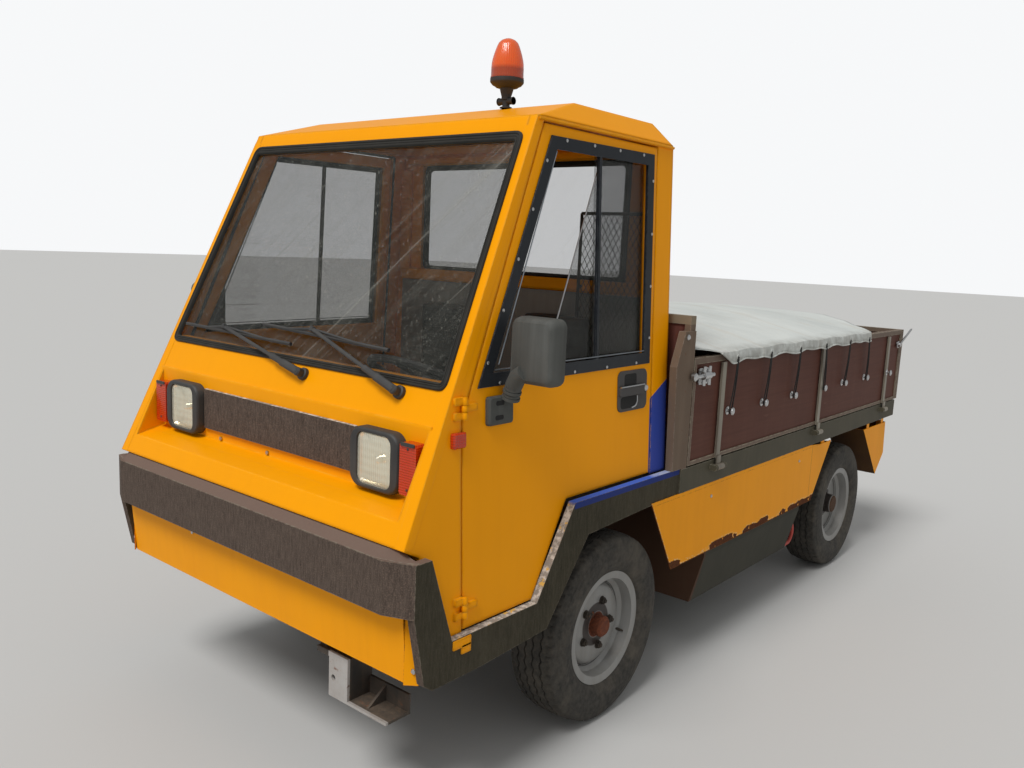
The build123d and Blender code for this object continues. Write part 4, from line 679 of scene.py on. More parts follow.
def make_rubber():
    finish = Finish("tyre_rubber", (42, 40, 36), 0.88)
    where = own_place(finish.tree)
    finish.painted_where(ramp(speckle(where, 60.0, 6.0, 0.65), 0.35, 0.7, 0.0, 0.6), (84, 79, 72))
    finish.painted_where(ramp(speckle(where, 9.0, 4.0, 0.6), 0.45, 0.75, 0.0, 0.5), (102, 94, 82))
    return finish.grained(420.0, 0.3, 0.001).done()


def make_glass():
    """Cab glass: see-through, with a grey tint, fine spots, run-down drops and slanted wipe marks."""
    finish = Finish("cab_glass", (34, 37, 33), 0.06)
    x, y, z = finish.xyz()
    where = own_place(finish.tree)

    def marks(slope, thin, long, low, high, most):
        """Thin marks in one slanted direction: slope is the rise for one unit towards the truck's left."""
        size = hypot(1.0, slope)
        across = minus(times(z, 1.0 / size), times(x, slope / size))
        run = plus(times(z, slope / size), times(x, 1.0 / size))
        at = put(finish.tree, "CombineXYZ", {0: times(across, thin), 1: times(run, long)}).outputs[0]
        return across, ramp(speckle(at, 1.0, 2.0, 0.5), low, high, 0.0, most)

    across, wiped = marks(1.12, 110.0, 1.5, 0.6, 0.76, 0.16)
    drops = marks(-2.6, 420.0, 42.0, 0.64, 0.74, 0.3)[1]
    soft = marks(1.12, 16.0, 0.8, 0.5, 0.75, 0.05)[1]
    line = between(plus(across, times(speckle(where, 3.0, 1.0, 0.5), 0.012)), 0.7885, 0.7925, 0.0015)
    spots = ramp(speckle(where, 260.0, 2.0, 0.6), 0.66, 0.74, 0.0, 0.35)
    haze = ramp(speckle(where, 3.0, 4.0, 0.6), 0.4, 0.7, 0.0, 0.04)
    film = plus(plus(plus(higher_of(wiped, drops), higher_of(spots, soft)), haze), times(line, 0.14))
    film = times(film, along(y, -0.42, -0.44, 0.2, 1.0), True)
    facing = put(finish.tree, "LayerWeight", {"Blend": 0.5}).outputs["Facing"]
    clear = plus(times(power(facing, 4.0), 0.7), 0.26)
    feed(finish.shader.inputs["Alpha"], plus(clear, film, True))
    finish.painted_where(times(film, 4.0, True), (150, 148, 138)).mat_where(times(film, 3.0, True), 0.6)
    return finish.done(0.5)


def make_lamp_glass():
    """Lamp glass with moulded flutes over a bright bowl."""
    finish = Finish("lamp_glass", (240, 236, 216), 0.08)
    x, _, z = finish.xyz()
    flutes, bars = sine_of(times(x, tau / 0.0085)), sine_of(times(z, tau / 0.021))
    return finish.set(Alpha=0.42).bumped(plus(times(flutes, 0.5), times(bars, 0.3)), 0.7, 0.0016).done(0.8)


def make_amber(name, colour):
    finish = Finish(name, colour, 0.16)
    x, y, z = finish.xyz()
    ribs, cross = sine_of(times(z, tau / 0.007)), sine_of(times(plus(x, y), tau / 0.009))
    finish.faded((218, 84, 10), 0.3).dusty(0.05, (170, 150, 130), 0.8, 2.3)
    finish.set(Coat_Weight=0.35, Coat_Roughness=0.12, Subsurface_Weight=0.1)
    return finish.bumped(plus(ribs, times(cross, 0.6)), 0.55, 0.0012).done(0.3)


def make_beacon_amber():
    """The beacon's lens: strong orange, browner where the base shows through low down."""
    finish = Finish("beacon_amber", (230, 88, 16), 0.2).faded((236, 112, 44), 0.4)
    x, y, z = finish.xyz()
    finish.painted_where(times(ramp(z, 2.158, 2.146), 0.75, True), (132, 48, 26))
    ribs = sine_of(times(angle_of(minus(y, -0.2 + AXLE_Y), minus(x, 0.342)), 44.0))
    finish.dusty(0.1, (190, 150, 120), 0.8, 2.3)
    finish.set(Coat_Weight=0.4, Coat_Roughness=0.1, Subsurface_Weight=0.1)
    return finish.bumped(ribs, 0.3, 0.0008).done()


def make_battery_grey():
    finish = Finish("battery_grey", (58, 57, 49), 0.7).faded((70, 69, 60), 0.6)
    _, y, _ = finish.xyz()
    curve = plus(y, times(speckle(own_place(finish.tree), 8.0, 3.0, 0.5), 0.03))
    finish.painted_where(higher_of(along(y, 0.632, 0.626), along(curve, 0.655, 0.645)), (82, 58, 44))
    finish.rusty(0.16, 20.0).dusty(0.08, (126, 116, 98), 0.2, 0.6)
    return finish.grained(260.0, 0.12, 0.0008).done(0.15)


def make_vinyl():
    finish = Finish("seat_vinyl", (36, 35, 35), 0.5).faded((60, 58, 56), 0.6)
    cells = put(finish.tree, "TexVoronoi", {"Vector": own_place(finish.tree),
                                            "Scale": 320.0}).outputs["Distance"]
    return finish.dusty(0.18, (130, 122, 110), 0.8, 1.4).bumped(cells, 0.08, 0.0005).done()


def make_cover_cloth():
    """Coated cover cloth: pale grey with a weave, damp stains and grime at the hem."""
    finish = Finish("cover_cloth", (210, 213, 208), 0.7)
    x, y, _ = finish.xyz()
    where = own_place(finish.tree)
    finish.painted_where(ramp(speckle(where, 2.4, 6.0, 0.6, 0.5), 0.38, 0.68, 0.0, 0.8), (190, 194, 190))
    stain = speckle(stretched(where, (2.0, 7.0, 2.0)), 1.0, 7.0, 0.62, 0.8)
    finish.painted_where(ramp(stain, 0.54, 0.74, 0.0, 0.45), (190, 176, 156))
    grime = times(ramp(size_of(x), 0.72, 0.79), ramp(speckle(where, 22.0, 5.0, 0.6), 0.3, 0.6))
    finish.painted_where(times(grime, 0.7, True), (122, 118, 108))
    threads = plus(sine_of(times(x, tau / 0.0021)), sine_of(times(y, tau / 0.0021)))
    return finish.set(Sheen_Weight=0.15).bumped(threads, 0.2, 0.0004).done()


def plain(name, colour, roughness, metallic=0.0, fade=None):
    finish = Finish(name, colour, roughness, metallic)
    if fade:
        finish.faded(fade, 0.7)
    return finish.dusty(0.15).grained(300.0, 0.15, 0.0008).done()


cab_yellow = make_cab_yellow()
skirt_yellow = make_skirt_yellow()
band_black = make_band()
bed_steel = Finish("bed_steel", (68, 64, 50), 0.65).faded((78, 73, 58), 0.7).dusty(0.2, (128, 118, 98), 0.5,
                                                                                   1.4)
bed_steel = bed_steel.rusty(0.26, 26.0).worn((148, 142, 126), 0.003, 40.0, 0.5).grained(300.0, 0.15).done(0.3)
gate_steel = make_gate_steel()
headboard_steel = make_headboard_steel()
faced_ply = make_board()
deck_ply = Finish("deck_ply", (92, 62, 46), 0.75).faded((120, 92, 70), 0.8).dusty(0.5).grained(90.0,
                                                                                               0.3).done()
chassis_paint = make_chassis()
axle_iron = Finish("axle_iron", (46, 42, 38), 0.75, 0.2).rusty(0.55, 26.0).dusty(0.6, (112, 96, 78), 0.1, 0.6)
axle_iron = axle_iron.grained(160.0, 0.4, 0.0015).done()
wheel_grey = make_wheel_grey()
tyre_rubber = make_rubber()
black_plastic = Finish("black_plastic", (38, 38, 39), 0.55).faded((66, 65, 64), 0.55)
black_plastic = black_plastic.dusty(0.18, (140, 132, 120), 0.4, 1.6).grained(520.0, 0.18, 0.0008).done()
# The mirrors' shells: black plastic bleached grey by the sun
bleached_plastic = Finish("bleached_plastic", (70, 71, 68), 0.7).faded((100, 101, 98), 0.8)
bleached_plastic = bleached_plastic.dusty(0.15, (150, 148, 140), 0.9, 1.5).grained(420.0, 0.35).done(0.2)
window_rubber = Finish("window_rubber", (36, 35, 32), 0.7).faded((54, 52, 48), 0.6)
window_rubber = window_rubber.dusty(0.1, (150, 144, 132), 0.9, 2.0).grained(300.0, 0.15, 0.0008).done(0.25)
frame_black = Finish("anodised_black", (26, 30, 36), 0.45).faded((36, 41, 48), 0.5)
frame_black = frame_black.dusty(0.06, (150, 148, 140), 0.9, 2.0).worn((130, 132, 136), 0.0015, 60.0,
                                                                      0.4).done(0.25)
cab_glass = make_glass()
lamp_glass = make_lamp_glass()
amber_lens = make_amber("amber_lens", (190, 42, 0))
beacon_amber = make_beacon_amber()
red_lens = make_amber("red_lens", (170, 22, 18))
bright_steel = Finish("bright_steel", (190, 190, 190), 0.28, 1.0).rusty(0.22, 70.0).grained(300.0, 0.1,
                                                                                            0.0006).done()
lamp_bowl = Finish("lamp_bowl", (240, 234, 214), 0.22, 1.0).dusty(0.1, (190, 180, 150), 0.8, 1.2).done()
battery_grey = make_battery_grey()
seat_vinyl = make_vinyl()
floor_mat = Finish("cab_floor_mat", (52, 50, 47), 0.85).faded((82, 76, 68), 0.9).dusty(0.5)
floor_mat = floor_mat.grained(120.0, 0.4, 0.0015).done()
cover_cloth = make_cover_cloth()
loop_black = plain("loop_black", (30, 29, 29), 0.8)
handle_grey = plain("handle_grey", (62, 59, 58), 0.65, fade=(76, 73, 72))
frame_edge = plain("frame_edge", (150, 156, 162), 0.35, 0.7, fade=(90, 96, 102))
# Near-black for the handle hollows and the mirror bracket's slots: painted shade
shade_black = plain("shade_black", (20, 20, 20), 0.9, fade=(30, 30, 30))
pale_board = plain("pale_board", (158, 154, 146), 0.7, fade=(120, 114, 104))
red_paint = plain("red_paint", (196, 58, 48), 0.5, fade=(170, 80, 66))
mesh_wire = plain("mesh_wire", (74, 70, 64), 0.6, 0.6)

CAD_FINISHES = {
    cab_yellow: "cab_front cab_sides cab_rear_wall cab_roof door_left_panel door_right_panel",
    skirt_yellow: "skirts", band_black: "bumper_bands", bed_steel: "bed_rails",
    gate_steel: "dropside_left_frame dropside_right_frame tailgate_frame", headboard_steel: "headboard",
    faced_ply: "dropside_left_board dropside_right_board tailgate_board", deck_ply: "bed_deck",
    chassis_paint: "chassis_frame", axle_iron: "front_axle rear_axle knuckle_left knuckle_right tie_rod",
    wheel_grey: "rim_front_left rim_front_right rim_rear_left rim_rear_right",
    tyre_rubber: "tyre_front_left tyre_front_right tyre_rear_left tyre_rear_right",
    black_plastic: "dashboard steering_wheel wipers beacon_base lamp_panel",
    frame_black: "door_left_trim door_right_trim", window_rubber: "window_seals",
    cab_glass: "cab_glass door_left_glass door_right_glass", lamp_glass: "lamp_lenses",
                amber_lens: "indicators",
    beacon_amber: "beacon_dome", red_lens: "tail_lamps", battery_grey: "battery_box", seat_vinyl: "seats",
    floor_mat: "cab_floor", cover_cloth: "tarp",
}
for material, node_names in CAD_FINISHES.items():
    for node_name in node_names.split():
        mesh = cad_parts[node_name].data
        mesh.materials.clear()
        mesh.materials.append(material)


# Tyres
GROOVES = (-0.045, -0.015, 0.015, 0.045)
GROOVE_W = 0.0072
GROOVE_DEPTH = 0.0065
SEGMENTS = 300


LUG_DEPTH = 0.0045
SIPE_DEPTH = 0.0014


def tyre_columns():
    """The section as (x, radius, kind), from one bead over the tread to the other."""
    wall = mm(67, 180, 70, 192.5, 74.5, 197.8, 80, 201, 83.5, 206, 84.2, 212, 87.2, 218, 90, 232, 92.2, 250,
              92.4, 262, 91.2, 276, 89.6, 284, 90, 286.2, 88.6, 288.4, 86.8, 298, 83.8, 308, 80, 314)
    columns = [(-x, r, "wall") for x, r in wall]
    shoulder = [(0.06, 0.3208, "rib"), (0.0625, 0.3205, "lug"), (0.07, 0.319, "lug"), (0.0765, 0.3172, "lug")]
    columns += [(-x, r, kind) for x, r, kind in reversed(shoulder)]
    for centre in GROOVES:
        crown = TYRE_R - 0.9 * centre * centre
        half = GROOVE_W / 2
        columns += [(centre - half, crown, "zig"), (centre - half * 0.55, crown - GROOVE_DEPTH, "zig"),
                    (centre + half * 0.55, crown - GROOVE_DEPTH, "zig"), (centre + half, crown, "zig")]
        if centre < 0.04:
            middle = centre + 0.015
            columns.append((middle, TYRE_R - 0.9 * middle * middle, "rib"))
    return columns + shoulder + [(x, r, "wall") for x, r in reversed(wall)]


def make_tyre(name, side, wheel_y, body, node):
    columns = tyre_columns()
    shape, loops = Form(), []
    for k in range(SEGMENTS):
        angle = tau * k / SEGMENTS
        zig = (0.0034, 0.0017, -0.0017, -0.0034, -0.0017, 0.0017)[k % 6]
        loop = []
        for x, radius, kind in columns:
            if kind == "zig":
                x += zig
            elif kind == "lug" and k % 5 == 0:
                radius -= LUG_DEPTH
            elif kind == "rib" and k % 10 == 5:
                radius -= SIPE_DEPTH
            loop.append(Vector((side * (WHEEL_X + x), wheel_y + radius * sin(angle),
                                TYRE_R + radius * cos(angle))))
        loops.append(loop)
    shape.skin(loops, around=True)
    shape.show(name, tyre_rubber, body, smooth=38.0, replaces=(node,))


for end, end_y in ENDS:
    for side_name, side in SIDES:
        make_tyre(f"tread_{end}_{side_name}", side, end_y, f"wheel_{end}_{side_name}",
                  f"tyre_{end}_{side_name}")


# Wheels' small parts
def make_wheel_fittings(end, side_name, side, wheel_y):
    """Valve, hub-cap screws and, at the rear, the drive flange's ring of bolts."""
    shape = Form()
    face = WHEEL_X + 0.012

    def out(radius, angle, x):
        return facing_left(*Vector((x, wheel_y - AXLE_Y + radius * cos(angle), TYRE_R + radius * sin(angle))))
    angle = radians(-24.0 if end == "front" else 205.0)
    shape.turned(out(0.162, angle, face + 0.01), mm(5.2, 0, 4.8, 20, 3.4, 22, 3.4, 32), 10)
    if end == "front":
        for i in range(5):
            shape.screw(out(0.04, radians(72.0 * i + 50.0), face + 0.006), 0.0045, 0.004)
        shape.turned(out(0.046, radians(118.0), face), mm(11, 0, 11, 22, 8, 26), 12)
    else:
        for i in range(10):
            shape.hex(out(0.05, radians(36.0 * i + 8.0), face + 0.001), 0.0065, 0.012)
    shape.show(f"wheel_fittings_{end}_{side_name}", axle_iron, f"wheel_{end}_{side_name}", side=side)


def make_wheel_centre(side_name, side):
    """The front wheel's raised centre with its five nuts."""
    seat = facing_left(0.0, 0.0, TYRE_R)
    centre, nuts = Form(), Form()
    profile = mm(149, 648.2, 144, 659, 137, 670, 129, 673.8, 100, 674.5, 56, 674.5, 50, 677.5, 44, 677.5,
                 36.5, 676)
    centre.turned(seat, profile, 72, False, False)
    for i in range(5):
        angle = radians(68.0 - 72.0 * i)
        at = seat @ Matrix.Translation((0.083 * cos(angle), 0.083 * sin(angle), 0.674))
        nuts.turned(at, mm(15.5, 0, 15, 2.2), 18)
        nuts.turned(at, mm(12.5, 1.5, 12.5, 12, 9.5, 14.5), 6)
        nuts.turned(at, mm(7.5, 14, 7, 18.5, 4, 20), 12)
    body = f"wheel_front_{side_name}"
    centre.show(f"wheel_centre_{side_name}", wheel_grey, body, side=side)
    nuts.show(f"wheel_nuts_{side_name}", axle_iron, body, side=side)


for end, end_y in ENDS:
    for side_name, side in SIDES:
        make_wheel_fittings(end, side_name, side, end_y)
for side_name, side in SIDES:
    make_wheel_centre(side_name, side)


# The cover
COVER_FRONT_Y = 0.403
COVER_REAR_Y = 2.862
COVER_EDGE_X = 0.776
COVER_HEM_DROP = 0.034
COVER_LIFT_Y = 0.568
COVER_CUT_Y = 2.27
COVER_CUT_X = 0.16
# The cloth's ridge: place along the bed and height
RIDGE = ((0.4, 1.35), (1.2, 1.347), (1.88, 1.339), (2.2, 1.328), (2.5, 1.311), (2.74, 1.294), (2.862, 1.266))
EYELETS = (0.715, 1.023, 1.33, 1.633, 1.953, 2.233)
KNOBS = (0.709, 1.021, 1.331, 1.684, 1.958, 2.28, 2.612)
KNOB_Z = 1.004
CORD_R = 0.0028
CORD_TURN_R = 0.0105


def between_points(table, at):
    for (a, low), (b, high) in zip(table, table[1:]):
        if at <= b:
            return low + (high - low) * max(0.0, (at - a) / (b - a))
    return table[-1][1]


def share(value, start, end):
    return max(0.0, min(1.0, (value - start) / (end - start)))


def cover_edge_z(y):
    """The cloth's height along its edge: on the rim, lifted clear of it at the headboard."""
    return GATE_TOP_Z + 0.011 + 0.013 * (1.0 - share(y, COVER_FRONT_Y, COVER_LIFT_Y))


def cover_height(x, y):
    """The cloth's height: a shallow arch with slack between its supports."""
    across = x / COVER_EDGE_X
    edge = cover_edge_z(y)
    slack = 0.005 * noise.fractal(Vector((x * 2.2, y * 1.6, 0.3)), 0.8, 2.0, 4)
    creases = 0.0022 * noise.fractal(Vector((x * 5.0, y * 14.0, 4.1)), 0.8, 2.0, 4)
    ripple = 0.0028 * sin(y * 21.0 + 3.0 * sin(x * 6.0)) * abs(across) ** 3
    arch = (between_points(RIDGE, y) - edge) * (1.0 - across * across)
    return edge + arch + (slack + creases) * (1.0 - abs(across) ** 6) + ripple


def cover_reach(y):
    """Half the cloth's width on the left, where its front corner is drawn in and its rear one turned back."""
    if y < COVER_LIFT_Y:
        return COVER_EDGE_X - 0.036 * (1.0 - share(y, COVER_FRONT_Y, COVER_LIFT_Y))
    return COVER_EDGE_X - (COVER_EDGE_X - COVER_CUT_X) * share(y, COVER_CUT_Y, COVER_REAR_Y)


def hem_full(y, left):
    """How much of the hem is turned down: none at the corners."""
    front = share(y, COVER_LIFT_Y, 0.675)
    return front * (1.0 - share(y, COVER_CUT_Y, COVER_CUT_Y + 0.04)) if left else front


def hem_sag(y):
    """How far the hem hangs below the rim: further where an eyelet pulls it."""
    pull = 0.0
    for eyelet in EYELETS:
        pull = max(pull, 1.0 - abs(y - eyelet) / 0.07)
    return COVER_HEM_DROP + 0.008 * pull + 0.003 * sin(y * 31.0)


def make_cfront_at():
    shape = Form()
    rows, columns = 150, 64
    loops = []
    flat_area = 0.0
    for i in range(rows + 1):
        y = COVER_FRONT_Y + (COVER_REAR_Y - COVER_FRONT_Y) * i / rows
        left, right = cover_reach(y), COVER_EDGE_X
        ring = []
        sides = [(right, -1, hem_full(y, False)), (left, 1, hem_full(y, True))]
        for k in range(3, 0, -1):
            reach, sign, full = sides[0]
            ring.append(place(sign * (reach + 0.0035), y, cover_height(sign * reach, y) - 0.004 * full
                              - full * hem_sag(y + 0.11) * k / 3))
        for j in range(columns + 1):
            x = -right + (left + right) * j / columns
            ring.append(place(x, y, cover_height(x, y)))
        for k in range(1, 4):
            reach, sign, full = sides[1]
            ring.append(place(sign * (reach + 0.0035 * full), y, cover_height(sign * reach, y) - 0.004 * full
                              - full * hem_sag(y) * k / 3))
        loops.append(ring)
        flat_area += (left + right + 2 * COVER_HEM_DROP) * (COVER_REAR_Y - COVER_FRONT_Y) / (rows + 1)
    shape.skin(loops, closed=False)
    cover = shape.show("cover_cloth", cover_cloth, smooth=60.0, replaces=("tarp",))
    thick = cover.modifiers.new("cloth_thickness", "SOLIDIFY")
    thick.thickness = 0.0022
    thick.offset = 0.0
    return cover, flat_area


def make_cover_hem():
    """The rolled hem, its eyelets, and the elastic loops down to the knobs."""
    hem, loops = Form(), Form()
    for sign in (1, -1):
        path = []
        steps = 150
        for i in range(steps + 1):
            y = COVER_LIFT_Y + 0.01 + (COVER_CUT_Y + 0.02 - COVER_LIFT_Y) * i / steps
            full = hem_full(y, sign > 0)
            drop = 0.004 * full + full * hem_sag(y if sign > 0 else y + 0.11)
            reach = min(cover_reach(y), COVER_EDGE_X)
            path.append(place(sign * (reach + 0.0045), y, cover_height(sign * COVER_EDGE_X, y) - drop))
        hem.bar(path, 0.0034, 6)
        for y, knob_y in zip(EYELETS, KNOBS):
            top = cover_height(COVER_EDGE_X, y) - 0.004 - COVER_HEM_DROP * 0.55
            seat = seat_on(place(sign * (COVER_EDGE_X + 0.0035), y, top), (0, sign, 0), (0, 0, 1))
            hem.turned(seat, mm(4.8, 0, 4.8, 3, 8.5, 3.4, 9.2, 1.4, 9.2, 0), 14, start=False, end=False)
            knob = place(sign * 0.77, knob_y, KNOB_Z)
            start = place(sign * (COVER_EDGE_X + 0.007), y, top)
            for apart in (-CORD_TURN_R, CORD_TURN_R):
                path = [(start + Vector((0, apart * 0.25, 0))).lerp(knob + Vector((0, apart, 0)), i / 10.0)
                        for i in range(11)]
                for i, point in enumerate(path):
                    point.x += sign * 0.003 * sin(pi * i / 10.0)
                loops.bar(path, CORD_R, 6)
            loops.bar([knob + CORD_TURN_R * Vector((0.0, cos(a), -sin(a)))
                       for a in (0.0, 0.5, 1.0, 1.57, 2.14, 2.64, pi)], CORD_R, 6)
    hem_piece = hem.show("cover_hem", cover_cloth)
    loops.show("elastic_loops", loop_black)
    return hem_piece


cover, cover_area = make_cfront_at()
cover_hem = make_cover_hem()


def make_gate_fittings(body, sign):
    """Knobs along the dropside, the spring catch at its front and the lever at its rear."""
    knobs, shape = Form(), Form()
    for y in KNOBS:
        seat = facing_left(BED_SIDE_X - 0.0065 if y < 2.4 else BED_SIDE_X + 0.008, y, KNOB_Z)
        shape.turned(seat, mm(16.5, 0, 16.5, 2, 15, 3.2), 20)
        knobs.turned(seat, mm(7, 3, 7, 16, 12.5, 18.5, 14.2, 22.5, 12.5, 26.5, 6, 29), 18)
        shape.bar([seat @ Vector((0.0138 * cos(tau * i / 20), 0.0138 * sin(tau * i / 20), 0.0232))
                   for i in range(21)], 0.0017, 6)
    knobs.show(f"{body}_knobs", bright_steel, body, side=sign)
    # Front catch: a plate, its barrel, a bolt and two wings
    seat = facing_left(BED_SIDE_X, 0.462, 1.16)
    shape.slab(seat, rounded(0.075, 0.06, 0.01, centre=(0.01, 0.0)), 0.0, 0.004)
    shape.bar([seat @ Vector((x, 0.004, 0.016)) for x in (-0.075, 0.062)], 0.0085, 12)
    shape.bar([seat @ Vector((x, 0.004, 0.016)) for x in (-0.02, 0.03)], 0.015, 12)
    for x in (-0.012, 0.028):
        shape.bar([seat @ Vector((x, y, 0.018)) for y in (-0.032, 0.038)], 0.0065, 8)
    shape.turned(moved(seat, -0.078, 0.004, 0.008), mm(15, 0, 15, 12, 10, 16), 14)
    for y in (0.022, -0.02):
        shape.screw(moved(seat, 0.036, y, 0.004), 0.005, 0.003)
    # Rear lever, straight up past the tailgate's end
    shape.turned(facing_left(BED_SIDE_X, 2.785, 1.149), mm(20, 0, 20, 6, 13, 10, 13, 18, 9, 21), 16)
    lever = [place(BED_SIDE_X + 0.012, 2.772, 1.142), place(BED_SIDE_X + 0.018, 2.84, 1.18),
             place(BED_SIDE_X + 0.026, 2.925, 1.229)]
    shape.bar(lever, 0.0098, 10, 0.6)
    shape.show(f"{body}_fittings", bright_steel, body, side=sign)


for side_name, sign in SIDES:
    make_gate_fittings(f"dropside_{side_name}", sign)


# Wipers
def soft_corners(points, radius, steps=5):
    """A closed outline with its corners rounded off."""
    found = []
    for i, corner in enumerate(points):
        corner = Vector(corner)
        before, after = Vector(points[i - 1]), Vector(points[(i + 1) % len(points)])
        start = corner + (before - corner).normalized() * radius
        end = corner + (after - corner).normalized() * radius
        for k in range(steps + 1):
            t = k / steps
            found.append(start * (1 - t) ** 2 + corner * 2 * t * (1 - t) + end * t * t)
    return found


def screen_loop(inset):
    """The windscreen rubber's outline, moved in: it is broader along the top than at the sides."""
    high, low = 1.913 - inset * 1.21, 1.208 + inset * 0.88
    half_high, half_low = 0.6385 - inset * 0.95, 0.6765 - inset * 0.95
    corners = ((-half_low, low), (half_low, low), (half_high, high), (-half_high, high))
    return soft_corners(corners, max(0.03 - inset, 0.008))


def make_window_seals():
    """The windscreen's rubber with its two lips and the filler strip's groove, and the rear window's."""
    shape = Form()
    section = mm(0, 0.4, 0.6, 5.5, 2.8, 7.8, 6.5, 8, 8.5, 5, 9.2, 5, 10.8, 6.6, 13, 6.6, 14.6, 5, 15.2, 5, 17,
                 7.6, 20.5, 7.2, 23.5, 3, 24.3, -5)
    shape.skin([[front_at(p.x, p.y, proud) for p in screen_loop(inset)] for inset, proud in section])
    rear = []
    for half, low, high, back in ((0.524, 1.473, 1.921, 0.0004), (0.523, 1.474, 1.92, 0.006),
                                  (0.5, 1.497, 1.897, 0.006), (0.498, 1.499, 1.895, -0.02),
                                  (0.51, 1.487, 1.907, -0.02), (0.51, 1.487, 1.907, 0.0004)):
        corners = ((-half, low), (half, low), (half, high), (-half, high))
        rear.append([place(p.x, 0.303 + back, p.y) for p in soft_corners(corners, 0.02)])
    shape.skin(rear, around=True)
    shape.show("window_rubbers", window_rubber, replaces=("window_seals",))


def add_pane(shape, outline, seat, front, back):
    """A sheet of glass: seat gives the outline's points a place at a given depth."""
    shape.skin([[seat(p[0], p[1], depth) for p in outline] for depth in (back, front)], True, True)


def make_window_panes():
    shape = Form()
    screen = soft_corners(mm(-663.5, 1229, 663.5, 1229, 629, 1883, -629, 1883), 0.012)
    add_pane(shape, screen, front_at, -0.0045, -0.0085)
    rear = mm(-509, 1488, -509, 1906, 509, 1906, 509, 1488)
    add_pane(shape, rear, lambda x, z, depth: place(x, depth, z), 0.309, 0.305)
    shape.show("cab_panes", cab_glass, replaces=("cab_glass",))
    # The left door's front pane stands slid back
    shape = Form()
    panes = ((mm(-379, 1251, 140, 1251, 140, 1880, -102, 1880), -0.011, -0.0145),
             (mm(-128, 1251, 158, 1251, 158, 1880, -128, 1880), -0.018, -0.0215))
    for outline, front, back in panes:
        add_pane(shape, outline, side_at, front, back)
    shape.show("left_door_panes", cab_glass, "door_left", replaces=("door_left_glass",))
    shape = Form()
    shape.bar([side_at(-0.3795, 1.2515, -0.0128), side_at(-0.1025, 1.8795, -0.0128)], 0.0024, 6)
    shape.show("left_pane_edge", bright_steel, "door_left")


def make_wipers():
    """Pivots, jointed arms and rubber blades on the windscreen."""
    shape = Form()
    # Pivot x and z, where the arm meets the blade, and the blade's two ends
    table = ((0.096, 1.183, -0.372, 1.276, -0.609, 1.268, -0.002, 1.258),
             (0.517, 1.186, 0.082, 1.309, -0.176, 1.304, 0.43, 1.285))
    for px, pz, ax, az, bx0, bz0, bx1, bz1 in table:
        pivot = on_front(px, pz, 0.0008)
        shape.turned(pivot, mm(20, 0, 19, 10, 13.5, 12, 13.5, 30, 10, 34), 16)
        direction = Vector((ax - px, az - pz)).normalized()
        near = (px + direction.x * 0.085, pz + direction.y * 0.085)
        mid = (px + direction.x * 0.15, pz + direction.y * 0.15)
        shape.bar([front_at(px, pz, 0.027), front_at(*near, 0.031)], 0.0125, 8, 0.7)
        shape.bar([front_at(*near, 0.031), front_at(*mid, 0.029)], 0.01, 8, 0.7)
        shape.bar([front_at(*mid, 0.028), front_at(ax, az, 0.024)], 0.0062, 8, 0.6)
        joint = on_front(ax, az, 0.016)
        shape.turned(joint, mm(8.5, 0, 8.5, 12), 10)
        for t in (0.22, 0.78):
            x, z = bx0 + (bx1 - bx0) * t, bz0 + (bz1 - bz0) * t
            shape.bar([front_at(ax, az, 0.02), front_at(x, z, 0.016)], 0.005, 6)
        for stops, height, radius in (((0.0, 0.5, 1.0), 0.0145, 0.0062), ((0.01, 0.99), 0.0105, 0.0032)):
            shape.bar([front_at(bx0 + (bx1 - bx0) * t, bz0 + (bz1 - bz0) * t, height) for t in stops], radius, 6)
    shape.show("wiper_pair", black_plastic, replaces=("wipers",))


make_window_seals()
make_window_panes()
make_wipers()


# Doors
WINDOW = mm(-688, 1213, 187, 1220, 187, 1916, -376, 1910)


def along_edges(points, spacing, inset):
    """Places at about a spacing along a closed outline, moved in from it."""
    centre = (sum(p[0] for p in points) / len(points), sum(p[1] for p in points) / len(points))
    found = []
    for a, b in zip(points, points[1:] + points[:1]):
        length = hypot(b[0] - a[0], b[1] - a[1])
        count = max(2, round(length / spacing))
        nx, ny = -(b[1] - a[1]) / length, (b[0] - a[0]) / length
        if nx * (centre[0] - a[0]) + ny * (centre[1] - a[1]) < 0:
            nx, ny = -nx, -ny
        for i in range(count):
            t = (i + 0.5) / count
            found.append((a[0] + (b[0] - a[0]) * t + nx * inset, a[1] + (b[1] - a[1]) * t + ny * inset))
    return found


